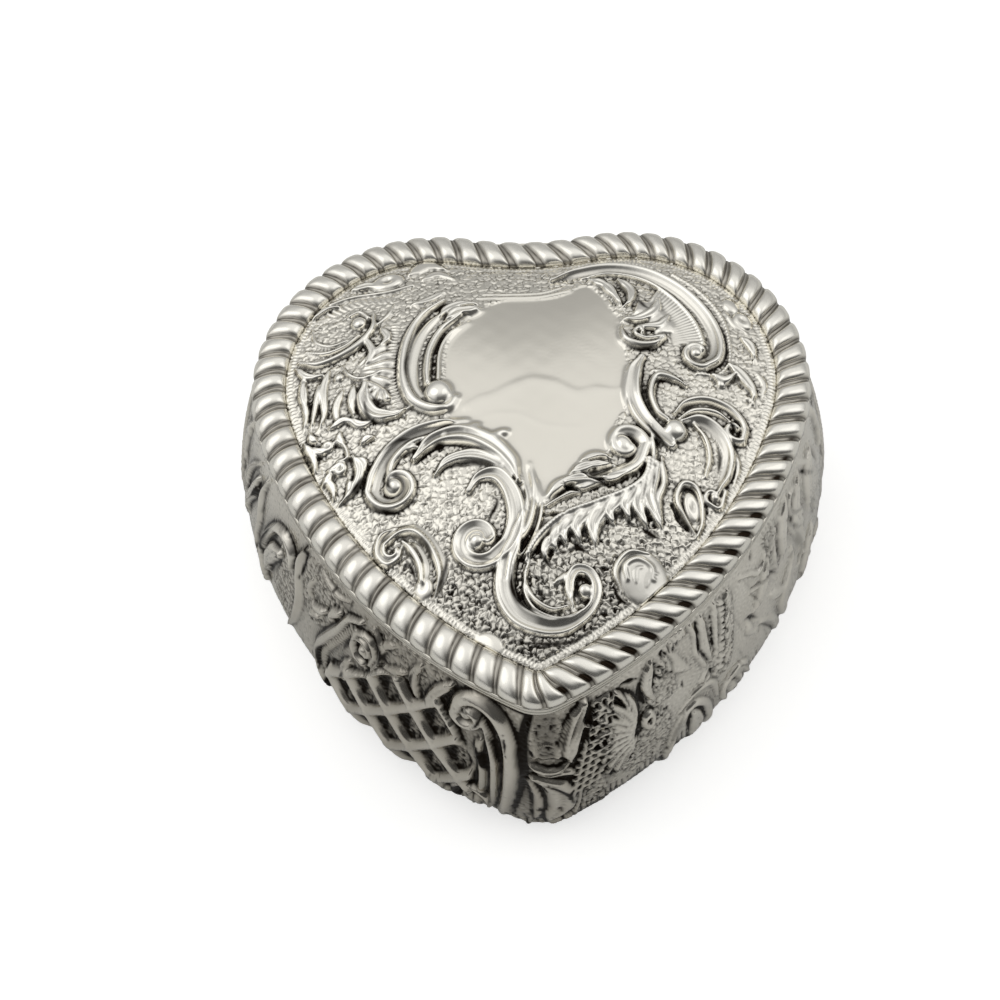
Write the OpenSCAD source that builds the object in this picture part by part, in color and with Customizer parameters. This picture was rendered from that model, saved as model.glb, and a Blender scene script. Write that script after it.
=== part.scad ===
/* [Lid outline] */
// Width of the lid across its lobes
lid_w = 86; // [76:1:100]
// Radius of each lobe of the heart
lobe_r = 28.2; // [25:0.1:32]
// Distance from the line between the lobe centres to the tip
tip_reach = 55.7; // [50:0.1:66]
// Radius of the long curved sides
side_r = 77; // [66:1:110]
// Radius of the rounded tip
tip_r = 7; // [7:0.1:10]
// Radius of the hollow between the lobes
cleft_r = 45; // [36:1:60]

/* [Wall] */
// Height of the box below the lid
body_h = 35; // [28:0.5:46]
// Thickness of the silver sheet of the wall, base and lid
sheet = 0.8; // [0.6:0.05:1.2]
// How far the top of the wall lies inside the edge of the lid
mouth_inset = 0.6; // [0.4:0.05:1]
// How far the wall swells past the edge of the lid
flare = 3.3; // [1:0.1:6]
// Height of the widest part of the wall
belly_z = 7.5; // [5:0.5:12]
// How far the wall turns in between its widest part and the base
tuck = 3; // [1:0.1:5]

/* [Mouth] */
// Height of the wire along the top of the wall
mouth_wire_h = 0.8; // [0.5:0.1:1.2]
// How far the mouth wire stands out from the wall below it
mouth_wire_lip = 0.15; // [0:0.05:0.3]
// Thickness of the bezel inside the mouth
bezel_t = 0.7; // [0.5:0.05:1]
// How far the bezel rises into the lid
bezel_rise = 1.4; // [0.8:0.1:1.8]
// How far the bezel reaches down inside the wall
bezel_drop = 4; // [2.5:0.1:6]

/* [Lid] */
// Thickness of the edge wire under the border
edge_wire_h = 1; // [0.7:0.1:1.4]
// How far the edge wire lies inside the tips of the border's lobes
edge_wire_inset = 0.15; // [0.05:0.05:0.3]
// Width of the gadroon border
border_w = 5.4; // [4.6:0.1:6.2]
// Height of the border's crest above its foot
border_h = 3; // [2.6:0.1:3.8]
// Number of lobes round the border
border_lobes = 70; // [50:1:84]
// How many lobe widths each lobe leans along the border
lobe_slant = 0.9; // [0:0.1:1.5]
// Depth of the grooves between the lobes
groove_d = 0.8; // [0.3:0.05:1.1]
// How far the grooves cut into the border's outline
scallop = 0.4; // [0.2:0.05:0.5]
// Thickness of the border at its outer edge
edge_lip = 0.4; // [0.3:0.05:0.6]
// Rise of the dome above the rim of the lid panel
dome_h = 6; // [3:0.25:9]
// Height of the lid panel's rim above the border's foot
panel_rise = 0.9; // [0.8:0.05:1.3]

/* [Chasing] */
// Height of the main scrolls above the lid panel
scroll_rise = 1.7; // [1:0.1:2.2]
// Width of a full scroll on the lid; lesser ones take a share of it
scroll_w = 2.8; // [1.6:0.1:3.4]
// Height of the main scrolls above the wall
wall_rise = 0.9; // [0.4:0.05:1.2]
// Width of a full scroll on the wall
wall_scroll_w = 2; // [1.2:0.1:2.6]
// Distance between the trellis bands that lean the same way
trellis_gap = 8.6; // [6:0.2:12]
// Plain margin between the chasing and the hinge
hinge_margin = 2; // [1:0.5:4]

/* [Hinge] */
// Radius of the hinge pin
pin_r = 0.5; // [0.4:0.05:0.6]
// Outer radius of the knuckles
knuckle_r = 1; // [0.9:0.05:1.3]
// Length of each knuckle
knuckle_l = 2.4; // [1.8:0.1:3]
// Gap between neighbouring knuckles
knuckle_gap = 0.1; // [0.05:0.05:0.2]
// Depth of the hinge axis below the joint between lid and body
hinge_drop = 3.2; // [2.8:0.1:4]
// Least thickness of the hinge leaves
leaf_t = 0.35; // [0.3:0.05:0.6]

/* [Lining] */
// Thickness of the cards that stiffen the lining
card_t = 0.8; // [0.5:0.1:1.2]
// Thickness of the velvet strip round the inside
lining_t = 0.9; // [0.6:0.1:1.3]
// Depth of the velvet strip's top edge below the mouth
lining_drop = 1.5; // [1:0.1:4]
// Thickness of the pad in the bottom
base_pad_t = 3.6; // [2:0.1:6]
// Thickness of the pad under the lid
lid_pad_t = 2.2; // [1:0.1:2.6]
// Width of the plain rim between the lid's pad and the border
lid_pad_margin = 1.6; // [1.4:0.1:3]

/* [Fits] */
// Thickness of the solder between joined pieces
solder = 0.02; // [0.01:0.01:0.05]
// Radial clearance of the pin in the lid's knuckles
pin_play = 0.05; // [0.02:0.01:0.08]
// Gap between the closed lid and its seat
seat_gap = 0.1; // [0.05:0.05:0.2]
// Gap between the bezel and the lid round it
bezel_play = 0.3; // [0.2:0.05:0.5]
// Gap between the hinge's barrel and the body's leaf
barrel_play = 0.15; // [0.1:0.05:0.3]
// Gap round the soft pieces of the lining
soft_gap = 0.3; // [0.2:0.05:0.5]

/* [Hidden] */
silver = "#c9c8c2";
velvet = "#5a2230";
silk = "#e6dcc8";
card = "#b9a37e";

// Centres of the four arcs of the right-hand half of the heart
lobe_c = [lid_w / 2 - lobe_r, 0];
tip_c = [0, tip_r - tip_reach];
cleft_c = [0, sqrt(pow(lobe_r + cleft_r, 2) - pow(lobe_c.x, 2))];
side_c = tangent_centre(lobe_c, side_r - lobe_r, tip_c, side_r - tip_r);

// Angles at which neighbouring arcs touch
cleft_a = heading(cleft_c, lobe_c);
lobe_a = heading(side_c, lobe_c);
tip_a = heading(side_c, tip_c);

// Arcs as centre, radius, first and last angle, and 1 for a bulge or -1 for a hollow
arcs = [
    [cleft_c, cleft_r, -90, cleft_a, -1],
    [lobe_c, lobe_r, cleft_a + 180, lobe_a, 1],
    [side_c, side_r, lobe_a, tip_a, 1],
    [tip_c, tip_r, tip_a, -90, 1]
];
arc_steps = [6, 16, 11, 6];
arc_lengths = [for (a = arcs) a[1] * abs(a[3] - a[2]) * PI / 180];
half_length = arc_lengths[0] + arc_lengths[1] + arc_lengths[2] + arc_lengths[3];

// Stations round the heart, each as a point and its outward direction
right_side = concat(
    [for (k = [0:3]) for (i = [0:arc_steps[k] - 1]) station(arcs[k], i / arc_steps[k])],
    [station(arcs[3], 1)]
);
stations = concat(
    right_side,
    [for (i = [len(right_side) - 2:-1:1]) mirrored(right_side[i])]
);

// Heights and offsets that the pieces share; offsets are measured outward from the lid's outline
wall_top_z = body_h - mouth_wire_h;
wall_foot_z = sheet + solder;
wall_inner_off = -mouth_inset - sheet;
bezel_off = wall_inner_off - solder;
lining_off = bezel_off - bezel_t - soft_gap;
foot_off = flare - tuck;
joint_z = body_h + seat_gap;
border_z = joint_z + edge_wire_h + solder;
hollow_z = body_h + bezel_rise + bezel_play;
wire_inner_off = bezel_off + bezel_play;
panel_z = border_z + panel_rise;
panel_off = -border_w - solder;
dome_c = [0, (lobe_r - tip_reach) / 3];
panel_rim = [for (p = heart(panel_off)) p - dome_c];

// Ribs of the chasing: shares of the width at an end, on the flat crest and across a volute's bulb, then the
// longest steps along a rib, as a turn and a length
rib_end = 0.4;
rib_crest = 0.45;
bulb = 0.5;
bend_step = 36;
run_step = 5;
lid_pad_share = 1 - lid_pad_margin / (lid_w / 2 + panel_off);
lid_card_z = panel_z + dome_z(lid_pad_share) - soft_gap - card_t;
lining_z = sheet + solder + card_t;

// Hinge: the barrel lies behind the wall in the cleft, just below the joint
knuckles = 5;
hinge_half = (knuckles * knuckle_l + (knuckles - 1) * knuckle_gap) / 2;
hinge_z = body_h - hinge_drop;
leaf_low_z = hinge_z - knuckle_r;
leaf_back_y = cleft_line(hinge_half, wall_off(leaf_low_z)) + leaf_t;
hinge_y = leaf_back_y + barrel_play + knuckle_r;
leaf_xs = [for (i = [-4:4]) hinge_half * i / 4];
lid_leaf_z = hinge_z + knuckle_r + barrel_play;
lid_leaf_front_y = hinge_y - 0.95 * knuckle_r;
lid_leaf_back_y = hinge_y + 0.35 * knuckle_r;

// Main scrolls of the lid. Each is a chain of bends that run on from one another: where it starts, the way it
// sets off, its bends as [first radius, last radius, turn], and its shares of the full width and height.
// A positive turn goes anticlockwise, and a bend whose radius shrinks rolls up into a volute.
lid_scrolls = [
    // tall C beside the cartouche, with an inner rib
    [[-13, 12.5], 215, [[13, 13, 110]], 0.8, 0.9],
    [[-10.5, 9], 226, [[18, 18, 44]], 0.6, 0.75],
    // scroll that rolls up below it
    [[-9.5, -11], 178, [[17, 8, 85], [3.6, 1.5, 240]], 1, 0.9],
    // acanthus over the foot of the cartouche
    [[-17.5, -16.5], 45, [[9, 9, -125]], 1.4, 1],
    // hooked volute under the acanthus
    [[-9.5, -22.5], 60, [[3.6, 3.6, -130], [12, 12, -45], [3.4, 1.4, -250]], 1.1, 0.95],
    // small C with a tongue
    [[-14.5, -38], 70, [[6.7, 6.7, 123], [2, 0.9, 200]], 0.8, 0.85],
    // S scroll that ends the cascade at the tip
    [[-1.5, -27], -116, [[28, 28, 25], [6.3, 6.3, 180], [2.4, 1.3, 220]], 1.3, 1],
    // volute on the right of the cascade, its stem and the long leaf below
    [[2, -25.5], 14, [[33, 12, 45], [2.9, 1, 290]], 1, 0.9],
    [[17.5, -12], -78, [[10, 10, -62], [60, 60, -16]], 0.6, 0.8],
    [[18, -25.5], -170, [[28, 28, 38]], 1.7, 0.6],
    // C on the right of the cartouche, with a hook
    [[17, 0.5], -113, [[13, 13, 75]], 1.1, 0.95],
    [[23.5, -4.5], 165, [[3.6, 3.6, 150]], 0.6, 0.85],
    // wide C over the shell
    [[3.5, 17], 32, [[16.5, 16.5, -115], [3, 0.9, -260]], 1, 0.95],
    // leaf that turns over on the right and the long leaf under it
    [[21.5, -9.5], 54, [[5.7, 5.7, -145]], 0.6, 0.8],
    [[22.5, -11], 8, [[6, 6, -75], [14, 14, -30]], 0.9, 0.9],
    // rolled leaf on the left and the eyed volute above it
    [[-25, -2.5], -93, [[5, 5, 110]], 1.2, 0.8],
    [[-35.5, 3.5], -25, [[8, 8, 115]], 0.6, 0.7]
];
// Bosses of the lid: centre, radius and share of the full height
lid_bosses = [
    [[-14, -5.5], 2.2, 1.05], [[21.5, -12.5], 1.9, 1.05], [[15.5, -36], 2.6, 0.75],
    [[-26, 9.5], 1.4, 0.8]
];
// Shell in the upper right of the lid: root, direction of the first and last rib, ribs, and a rib's two ends
lid_shell = [[13, 5.5], 95, 5, 4, 3, 9];

// Main scrolls of the wall, with the distance round from the tip, positive on the left, and the height
wall_scrolls = [
    // tall ribbed leaf beside the tip
    [[5.5, 3], 98, [[150, 150, -9], [5, 5, -150], [2.4, 1.1, -200]], 1.1, 1],
    // ringed volute and the rope that falls past it
    [[28, 26.5], 90, [[2.6, 1.7, -300]], 0.5, 0.8],
    [[31.5, 31.5], -42, [[26, 26, -65]], 0.8, 0.9],
    // open C over a petal, and the stroke before it
    [[46, 31.5], -88, [[120, 120, 12]], 0.9, 0.8],
    [[49, 24.5], 88, [[3.6, 3.6, -155], [30, 30, -32]], 0.8, 0.9],
    [[53, 23.5], -50, [[14, 14, -50]], 1.3, 0.8],
    // smooth leaf and loop on the right of the tip
    [[-4, 22], 92, [[24, 24, 22]], 1.6, 0.7],
    [[-29, 3.5], 96, [[60, 60, -7], [4.5, 4.5, -165], [60, 60, -6]], 0.8, 0.6]
];
wall_bosses = [[[9.5, 6], 1.9, 0.7], [[-17, 20.5], 1.7, 0.9]];
wall_fan = [[-15, 20.5], 74, -42, 4, 3, 8.5];
// Trellis left of the tip: where two bands cross, their rise from crossing to crossing, and how far they reach
trellis_c = [20.5, 22.5];
trellis_rise = 11;
trellis_ends = [11, 38];
// Long leaves on the right: first top, gap to the next, and how many
long_leaves = [[-43, 30.5], 11, 2];
// Scroll and leaves that repeat round the back, measured from the middle of the motif
motif = [
    [[-9, 5], 100, [[30, 12, -75], [9, 9, -60]], 1.2, 0.9],
    [[-1, 20.5], -65, [[14, 14, -30]], 0.9, 0.8],
    [[12, 31], -100, [[30, 30, 30], [8, 8, -40]], 0.8, 0.8]
];
motif_at = [84];

// Size of the lid and wall for which the scrolls are set out; they stretch with the box
set_out = [43, 28, 56];
set_out_round = 133;
set_out_h = 35;

// Direction from point a to point b, in degrees
function heading(a, b) = atan2(b.y - a.y, b.x - a.x);

// Point at distance ra from a and rb from b, on the left of the line from a to b as seen from above
function tangent_centre(a, ra, b, rb) =
    let (
        gap = norm(b - a),
        along = (ra * ra - rb * rb + gap * gap) / (2 * gap),
        aside = sqrt(ra * ra - along * along),
        u = (b - a) / gap
    )
    a + along * u + aside * [u.y, -u.x];

// Point and outward direction at a share t of an arc
function station(arc, t) =
    let (angle = arc[2] + (arc[3] - arc[2]) * t, d = [cos(angle), sin(angle)])
    [arc[0] + arc[1] * d, arc[4] * d];

function mirrored(s) = [[-s[0].x, s[0].y], [-s[1].x, s[1].y]];

// Station at distance s along the right-hand half
function station_at(s, k = 0) =
    k < 3 && s > arc_lengths[k] ? station_at(s - arc_lengths[k], k + 1) : station(arcs[k], s / arc_lengths[k]);

// Station at a share u of the whole way round, clockwise from the cleft
function station_round(u) =
    let (v = u - floor(u))
    v <= 0.5 ? station_at(2 * v * half_length) : mirrored(station_at(2 * (1 - v) * half_length));

// The heart's outline moved outward by off
function heart(off) = [for (s = stations) s[0] + off * s[1]];

// The same outline at height z
function heart_ring(off, z) = [for (p = heart(off)) [p.x, p.y, z]];

// Line of the cleft at x, moved outward by off
function cleft_line(x, off) = cleft_c.y - sqrt(pow(cleft_r - off, 2) - x * x);

// Outer face of the wall at height z: it swells down to the belly, then turns in to the base
function wall_off(z) =
    z >= belly_z
        ? -mouth_inset + (flare + mouth_inset) * sin(90 * (body_h - z) / (body_h - belly_z))
        : flare - tuck * (1 - cos(90 * (belly_z - z) / belly_z));

// Height of the dome at a share s of the way out from its centre
function dome_z(s) = dome_h * (1 - s * s);

// Solid between closed rings of points, all with as many points and going clockwise seen from above.
// The rings rise from the first to the last, or go round and join up when they are looped.
module skin(rings, looped = false) {
    n = len(rings[0]);
    m = len(rings);
    sides = [
        for (j = [0:looped ? m - 1 : m - 2], i = [0:n - 1])
            let (
                a = j * n + i,
                b = j * n + (i + 1) % n,
                c = (j + 1) % m * n + (i + 1) % n,
                d = (j + 1) % m * n + i
            )
            each [[a, b, c], [a, c, d]]
    ];
    caps = looped ? [] : [[for (i = [n - 1:-1:0]) i], [for (i = [0:n - 1]) (m - 1) * n + i]];
    polyhedron(points = [for (ring = rings) each ring], faces = concat(sides, caps), convexity = 6);
}

function unit(v) = v / norm(v);

// Steps of a chain of bends, each as a length and a turn; no step turns or runs too far to look smooth
function bend_steps(bends) = [
    for (b = bends)
        let (
            long = (b[0] + b[1]) / 2 * abs(b[2]) * PI / 180,
            n = ceil(max(abs(b[2]) / bend_step, long / run_step))
        )
        for (k = [0:n - 1])
            [(b[0] + (b[1] - b[0]) * (k + 0.5) / n) * abs(b[2]) / n * PI / 180, b[2] / n]
];

// Points along a chain of bends
function trail(start, way, bends) =
    let (steps = bend_steps(bends), n = len(steps))
    [
        for (
            i = 0, p = start, a = way;
            i <= n;
            p = i < n ? p + steps[i][0] * [cos(a + steps[i][1] / 2), sin(a + steps[i][1] / 2)] : p,
            a = i < n ? a + steps[i][1] : a,
            i = i + 1
        )
            p
    ];

// A chain whose last bend turns half round or more ends in a volute
function rolls_up(bends) = abs(bends[len(bends) - 1][2]) >= 180;

// Ribs of a shell, each as points from its foot to its end
function fan(f) = [
    for (k = [0:f[3] - 1])
        let (a = f[1] + (f[2] - f[1]) * k / (f[3] - 1))
        [for (r = [f[4], (f[4] + f[5]) / 2, f[5]]) f[0] + r * [cos(a), sin(a)]]
];

// Height of the lid's outside over a point, found where the line from the dome's centre meets the rim
function dome_over(p) =
    let (
        d = p - dome_c,
        n = len(panel_rim),
        hits = [
            for (i = [0:n - 1])
                let (
                    a = panel_rim[i],
                    e = panel_rim[(i + 1) % n] - a,
                    along = cross(a, d) / cross(d, e),
                    far = cross(a, e) / cross(d, e)
                )
                if (far > 0 && along >= 0 && along < 1) 1 / far
        ]
    )
    panel_z + sheet + dome_z(len(hits) > 0 ? hits[0] : 0);

// Seats of the chasing: a point on the sheet and the direction that leads out of it
function lid_seat(at) =
    let (
        p = [at.x * lid_w / 2 / set_out.x, at.y * (at.y > 0 ? lobe_r / set_out.y : tip_reach / set_out.z)],
        z = dome_over(p)
    )
    [[p.x, p.y, z], unit([z - dome_over(p + [1, 0]), z - dome_over(p + [0, 1]), 1])];

function wall_seat(at) =
    let (
        z = at.y * body_h / set_out_h,
        s = station_round(0.5 + at.x / set_out_round / 2),
        p = s[0] + wall_off(z) * s[1]
    )
    [[p.x, p.y, z], unit([s[1].x, s[1].y, wall_off(z) - wall_off(z + 1)])];

// Rounded rib along seats, tapered to both ends and sunk halfway into the sheet
module rib(seats, width, rise) {
    skin([for (k = [0:len(seats) - 1]) rib_ring(seats, k, width / 2, rise)]);
}

function rib_ring(seats, k, half, rise) =
    let (
        last = len(seats) - 1,
        out = seats[k][1],
        aside = unit(cross(out, seats[min(k + 1, last)][0] - seats[max(k - 1, 0)][0])),
        share = min(1, rib_end + 3 * (1 - rib_end) * min(k, last - k) / last),
        w = half * share,
        h = rise * (1 + share) / 2
    )
    [
        for (q = [[-w, -sheet / 2], [-rib_crest * w, h], [rib_crest * w, h], [w, -sheet / 2]])
            seats[k][0] + q.x * aside + q.y * out
    ];

// Low round boss on a seat
module boss(seat, r, rise) {
    out = seat[1];
    translate(seat[0])
        rotate([0, acos(out.z), atan2(out.y, out.x)])
            hull() {
                translate([0, 0, -sheet / 2]) cylinder(r = r, h = sheet / 2, $fn = 8);
                translate([0, 0, 0.6 * rise]) cylinder(r = 0.75 * r, h = solder, $fn = 8);
                translate([0, 0, rise - solder]) cylinder(r = 0.35 * r, h = solder, $fn = 8);
            }
}

module lid_rib(line, width_share, rise_share) {
    rib([for (p = line) lid_seat(p)], scroll_w * width_share, scroll_rise * rise_share);
}

// Ribs of the wall stop short of the hinge
module wall_rib(line, width_share, rise_share) {
    seats = [for (p = line) if (abs(p.x) < set_out_round - hinge_half - hinge_margin) wall_seat(p)];
    if (len(seats) > 2) rib(seats, wall_scroll_w * width_share, wall_rise * rise_share);
}

module lid_chasing() {
    for (s = lid_scrolls) {
        line = trail(s[0], s[1], s[2]);
        lid_rib(line, s[3], s[4]);
        if (rolls_up(s[2])) boss(lid_seat(line[len(line) - 1]), bulb * scroll_w * s[3], scroll_rise * s[4]);
    }
    for (line = fan(lid_shell)) hull() lid_rib(line, 0.9, 0.75);
    for (b = lid_bosses) boss(lid_seat(b[0]), b[1], scroll_rise * b[2]);
}

module wall_chasing() {
    for (s = wall_scrolls) {
        line = trail(s[0], s[1], s[2]);
        wall_rib(line, s[3], s[4]);
        if (rolls_up(s[2])) boss(wall_seat(line[len(line) - 1]), bulb * wall_scroll_w * s[3], wall_rise * s[4]);
    }
    for (line = fan(wall_fan)) hull() wall_rib(line, 0.9, 0.7);
    for (k = [0:long_leaves[2] - 1])
        wall_rib(trail(long_leaves[0] - [k * long_leaves[1], 0], -105, [[60, 60, 16]]), 0.7, 0.5);
    // a band's rings lie midway between its crossings
    for (k = [-2:3], lean = [-1, 1])
        wall_rib(
            [
                for (j = [-4:0])
                    let (
                        z = trellis_c.y + trellis_rise * (2 * j + 1) / 4,
                        u = trellis_c.x + trellis_gap * (k + lean * (z - trellis_c.y) / trellis_rise)
                    )
                    if (u > trellis_ends[0] && u < trellis_ends[1]) [u, z]
            ],
            1, lean > 0 ? 0.75 : 0.6
        );
    for (at = motif_at, side = [-1, 1], s = motif)
        wall_rib([for (p = trail(s[0], s[1], s[2])) [side * (at + p.x), p.y]], s[3], s[4]);
    for (b = wall_bosses) boss(wall_seat(b[0]), b[1], wall_rise * b[2]);
}

// Flat band of height h between two offsets of the heart
module heart_band(outer, inner, h) {
    linear_extrude(h)
        difference() {
            polygon(heart(outer));
            polygon(heart(inner));
        }
}

module base_plate() {
    color(silver) linear_extrude(sheet) polygon(heart(foot_off));
}

// Bombe wall, the same sheet thickness all the way down
module wall_shell() {
    top = wall_top_z - solder;
    heights = concat(
        [for (t = [0, 0.25, 0.55]) wall_foot_z + (belly_z - wall_foot_z) * t],
        [for (t = [0:7]) belly_z + (top - belly_z) * t / 7]
    );
    outside = [for (z = heights) heart_ring(wall_off(z), z)];
    // the hidden inside takes fewer rings
    depths = concat(
        [for (t = [1, 0.7, 0.35]) belly_z + (top - belly_z) * t],
        [for (t = [1, 0.4, 0]) wall_foot_z + (belly_z - wall_foot_z) * t]
    );
    inside = [for (z = depths) heart_ring(wall_off(z) - sheet, z)];
    color(silver)
        union() {
            skin(concat(outside, inside), looped = true);
            wall_chasing();
        }
}

module mouth_wire() {
    color(silver)
        translate([0, 0, wall_top_z])
            heart_band(wall_off(wall_top_z) + mouth_wire_lip, wall_inner_off, mouth_wire_h);
}

module inner_bezel() {
    color(silver)
        translate([0, 0, body_h - bezel_drop])
            heart_band(bezel_off, bezel_off - bezel_t, bezel_drop + bezel_rise);
}

// Outline of a hinge leaf at height z: its front follows the cleft, its back is straight
function leaf_ring(front, back_y, z) =
    concat(
        [[-hinge_half, back_y, z], [hinge_half, back_y, z]],
        [for (x = leaf_xs) [-x, front(x), z]]
    );

module body_hinge_leaf() {
    levels = [leaf_low_z, lid_leaf_z - barrel_play];
    color(silver)
        skin([for (z = levels) leaf_ring(function (x) cleft_line(x, wall_off(z) + solder), leaf_back_y, z)]);
}

// Leans back from the edge wire to stand over the barrel, clear of the wall
module lid_hinge_leaf() {
    top_z = border_z - solder;
    front_off = solder - edge_wire_inset;
    top_y = cleft_line(hinge_half, front_off) + leaf_t;
    wire_y = top_y + (lid_leaf_back_y - top_y) * (top_z - joint_z) / (top_z - lid_leaf_z);
    edge = function (x) cleft_line(x, front_off);
    lean = lid_leaf_front_y - edge(hinge_half);
    color(silver)
        skin([
            leaf_ring(function (x) edge(x) + lean, lid_leaf_back_y, lid_leaf_z),
            leaf_ring(edge, wire_y, joint_z),
            leaf_ring(edge, top_y, top_z)
        ]);
}

// One knuckle of the hinge, numbered from the left, with a foot that joins it to its leaf
module knuckle(k, bore_r, foot_from, foot_to) {
    color(silver)
        translate([(k - (knuckles - 1) / 2) * (knuckle_l + knuckle_gap), hinge_y, hinge_z])
            difference() {
                union() {
                    rotate([0, 90, 0]) cylinder(r = knuckle_r, h = knuckle_l, center = true, $fn = 48);
                    translate([-knuckle_l / 2, foot_from.x, foot_from.y])
                        cube([knuckle_l, foot_to.x - foot_from.x, foot_to.y - foot_from.y]);
                }
                rotate([0, 90, 0]) cylinder(r = bore_r, h = knuckle_l + 1, center = true, $fn = 48);
            }
}

module body_knuckle(k) {
    knuckle(k, pin_r + solder, [leaf_back_y + solder - hinge_y, -knuckle_r], [0, 0]);
}

module lid_knuckle(k) {
    reach = lid_leaf_z - solder - hinge_z;
    knuckle(k, pin_r + pin_play, [lid_leaf_front_y - hinge_y, 0], [lid_leaf_back_y - hinge_y, reach]);
}

module hinge_pin() {
    color(silver)
        translate([0, hinge_y, hinge_z])
            rotate([0, 90, 0])
                cylinder(r = pin_r, h = 2 * hinge_half, center = true, $fn = 48);
}

module base_card() {
    color(card) translate([0, 0, sheet + solder]) linear_extrude(card_t) polygon(heart(lining_off));
}

module base_pad() {
    color(velvet)
        translate([0, 0, lining_z])
            linear_extrude(base_pad_t)
                polygon(heart(lining_off - lining_t - soft_gap));
}

module side_lining() {
    color(velvet)
        translate([0, 0, lining_z])
            heart_band(lining_off, lining_off - lining_t, body_h - lining_drop - lining_z);
}

// Domed sheet: rings shrink towards the middle of the lid as they rise
module lid_panel() {
    rim = heart(panel_off);
    shares = [0.06, 0.25, 0.45, 0.62, 0.78, 0.9, 1];
    // the hidden underside takes every second ring
    under = [for (i = [0:2:len(shares) - 1]) dome_ring(rim, shares[i], panel_z)];
    over = [for (i = [len(shares) - 1:-1:0]) dome_ring(rim, shares[i], panel_z + sheet)];
    color(silver)
        union() {
            skin(concat(under, over));
            lid_chasing();
        }
}

function lid_pad_outline() = [for (p = heart(panel_off)) dome_c + lid_pad_share * (p - dome_c)];

function dome_ring(rim, s, z) =
    [for (p = rim) let (q = dome_c + s * (p - dome_c)) [q.x, q.y, z + dome_z(s)]];

// Rope border: each lobe swells between two slanted grooves
module gadroon_border() {
    steps = 3 * border_lobes;
    swell = [0, 1, 1];
    across = [1, 0.86, 0.62, 0.36, 0.13, 0];
    foot = [[0, border_z], [wire_inner_off, border_z], [wire_inner_off, hollow_z], [-border_w, hollow_z]];
    color(silver)
        skin(
            concat(
                [for (q = foot) [for (k = [0:steps - 1]) border_point(k / steps, -q.x / border_w, q.y)]],
                [for (t = across) [for (k = [0:steps - 1]) lobe_point(k / steps, t, swell[k % 3])]]
            ),
            looped = true
        );
}

// Point on the border at a share u round it and t across it, with the lean of the lobes
function border_point(u, t, z, inset = 0) =
    let (s = station_round(u + lobe_slant * (t - 0.5) / border_lobes), p = s[0] - (border_w * t + inset) * s[1])
    [p.x, p.y, z];

function lobe_point(u, t, swell) =
    let (
        arch = sin(180 * t),
        low = edge_lip + (panel_rise + sheet - edge_lip) * t,
        high = border_h - (edge_lip + panel_rise + sheet) / 2
    )
    border_point(
        u, t, border_z + low + (high - groove_d * (1 - swell)) * pow(arch, 0.8), scallop * (1 - swell) * (1 - t)
    );

module edge_wire() {
    color(silver)
        translate([0, 0, joint_z])
            heart_band(-edge_wire_inset, wire_inner_off, edge_wire_h);
}

module lid_card() {
    color(card) translate([0, 0, lid_card_z]) linear_extrude(card_t) polygon(lid_pad_outline());
}

module lid_pad() {
    color(silk)
        translate([0, 0, lid_card_z - lid_pad_t])
            linear_extrude(lid_pad_t)
                polygon(lid_pad_outline());
}

base_plate();
wall_shell();
mouth_wire();
inner_bezel();
body_hinge_leaf();
body_knuckle(0);  // body_knuckle_left
body_knuckle(2);  // body_knuckle_centre
body_knuckle(4);  // body_knuckle_right
hinge_pin();
base_card();
base_pad();
side_lining();
lid_panel();
gadroon_border();
edge_wire();
lid_hinge_leaf();
lid_knuckle(1);  // lid_knuckle_left
lid_knuckle(3);  // lid_knuckle_right
lid_card();
lid_pad();
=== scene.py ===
import math
import bpy
import numpy as np
from mathutils import Matrix, Vector


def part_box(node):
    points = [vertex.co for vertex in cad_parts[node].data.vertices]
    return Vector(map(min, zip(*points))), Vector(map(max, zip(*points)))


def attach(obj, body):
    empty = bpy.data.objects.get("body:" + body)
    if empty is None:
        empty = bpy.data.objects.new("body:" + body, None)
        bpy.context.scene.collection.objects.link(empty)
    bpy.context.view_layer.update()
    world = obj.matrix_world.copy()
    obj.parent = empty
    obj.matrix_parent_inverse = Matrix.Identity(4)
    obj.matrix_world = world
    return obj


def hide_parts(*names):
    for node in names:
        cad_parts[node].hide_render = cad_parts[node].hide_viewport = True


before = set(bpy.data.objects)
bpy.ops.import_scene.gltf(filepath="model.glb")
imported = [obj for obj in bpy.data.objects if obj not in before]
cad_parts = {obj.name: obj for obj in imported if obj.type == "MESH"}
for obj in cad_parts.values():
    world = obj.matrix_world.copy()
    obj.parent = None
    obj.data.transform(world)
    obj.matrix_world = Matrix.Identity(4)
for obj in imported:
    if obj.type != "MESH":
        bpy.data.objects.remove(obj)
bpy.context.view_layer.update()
mm = 0.001


def hexToLinear(code):
    parts = [int(code[i:i + 2], 16) / 255 for i in (1, 3, 5)]
    return (*[c / 12.92 if c <= 0.04045 else ((c + 0.055) / 1.055) ** 2.4 for c in parts], 1.0)


def addNode(tree, kind, inputs=None, links=None, **settings):
    node = tree.nodes.new(kind)
    for key, value in settings.items():
        setattr(node, key, value)
    for key, value in (inputs or {}).items():
        node.inputs[key].default_value = value
    for key, socket in (links or {}).items():
        tree.links.new(socket, node.inputs[key])
    return node


def addRamp(tree, share, stops):  # stops are (place, grey) pairs
    node = addNode(tree, "ShaderNodeValToRGB", links={"Fac": share})
    band = node.color_ramp
    while len(band.elements) < len(stops):
        band.elements.new(0.5)
    for element, (place, grey) in zip(band.elements, stops):
        element.position = place
        element.color = (grey, grey, grey, 1)
    return node.outputs["Color"]


def addMix(tree, first, second, links):
    colours = {"A": hexToLinear(first), "B": hexToLinear(second)}
    return addNode(tree, "ShaderNodeMix", colours, links, data_type="RGBA")


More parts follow.
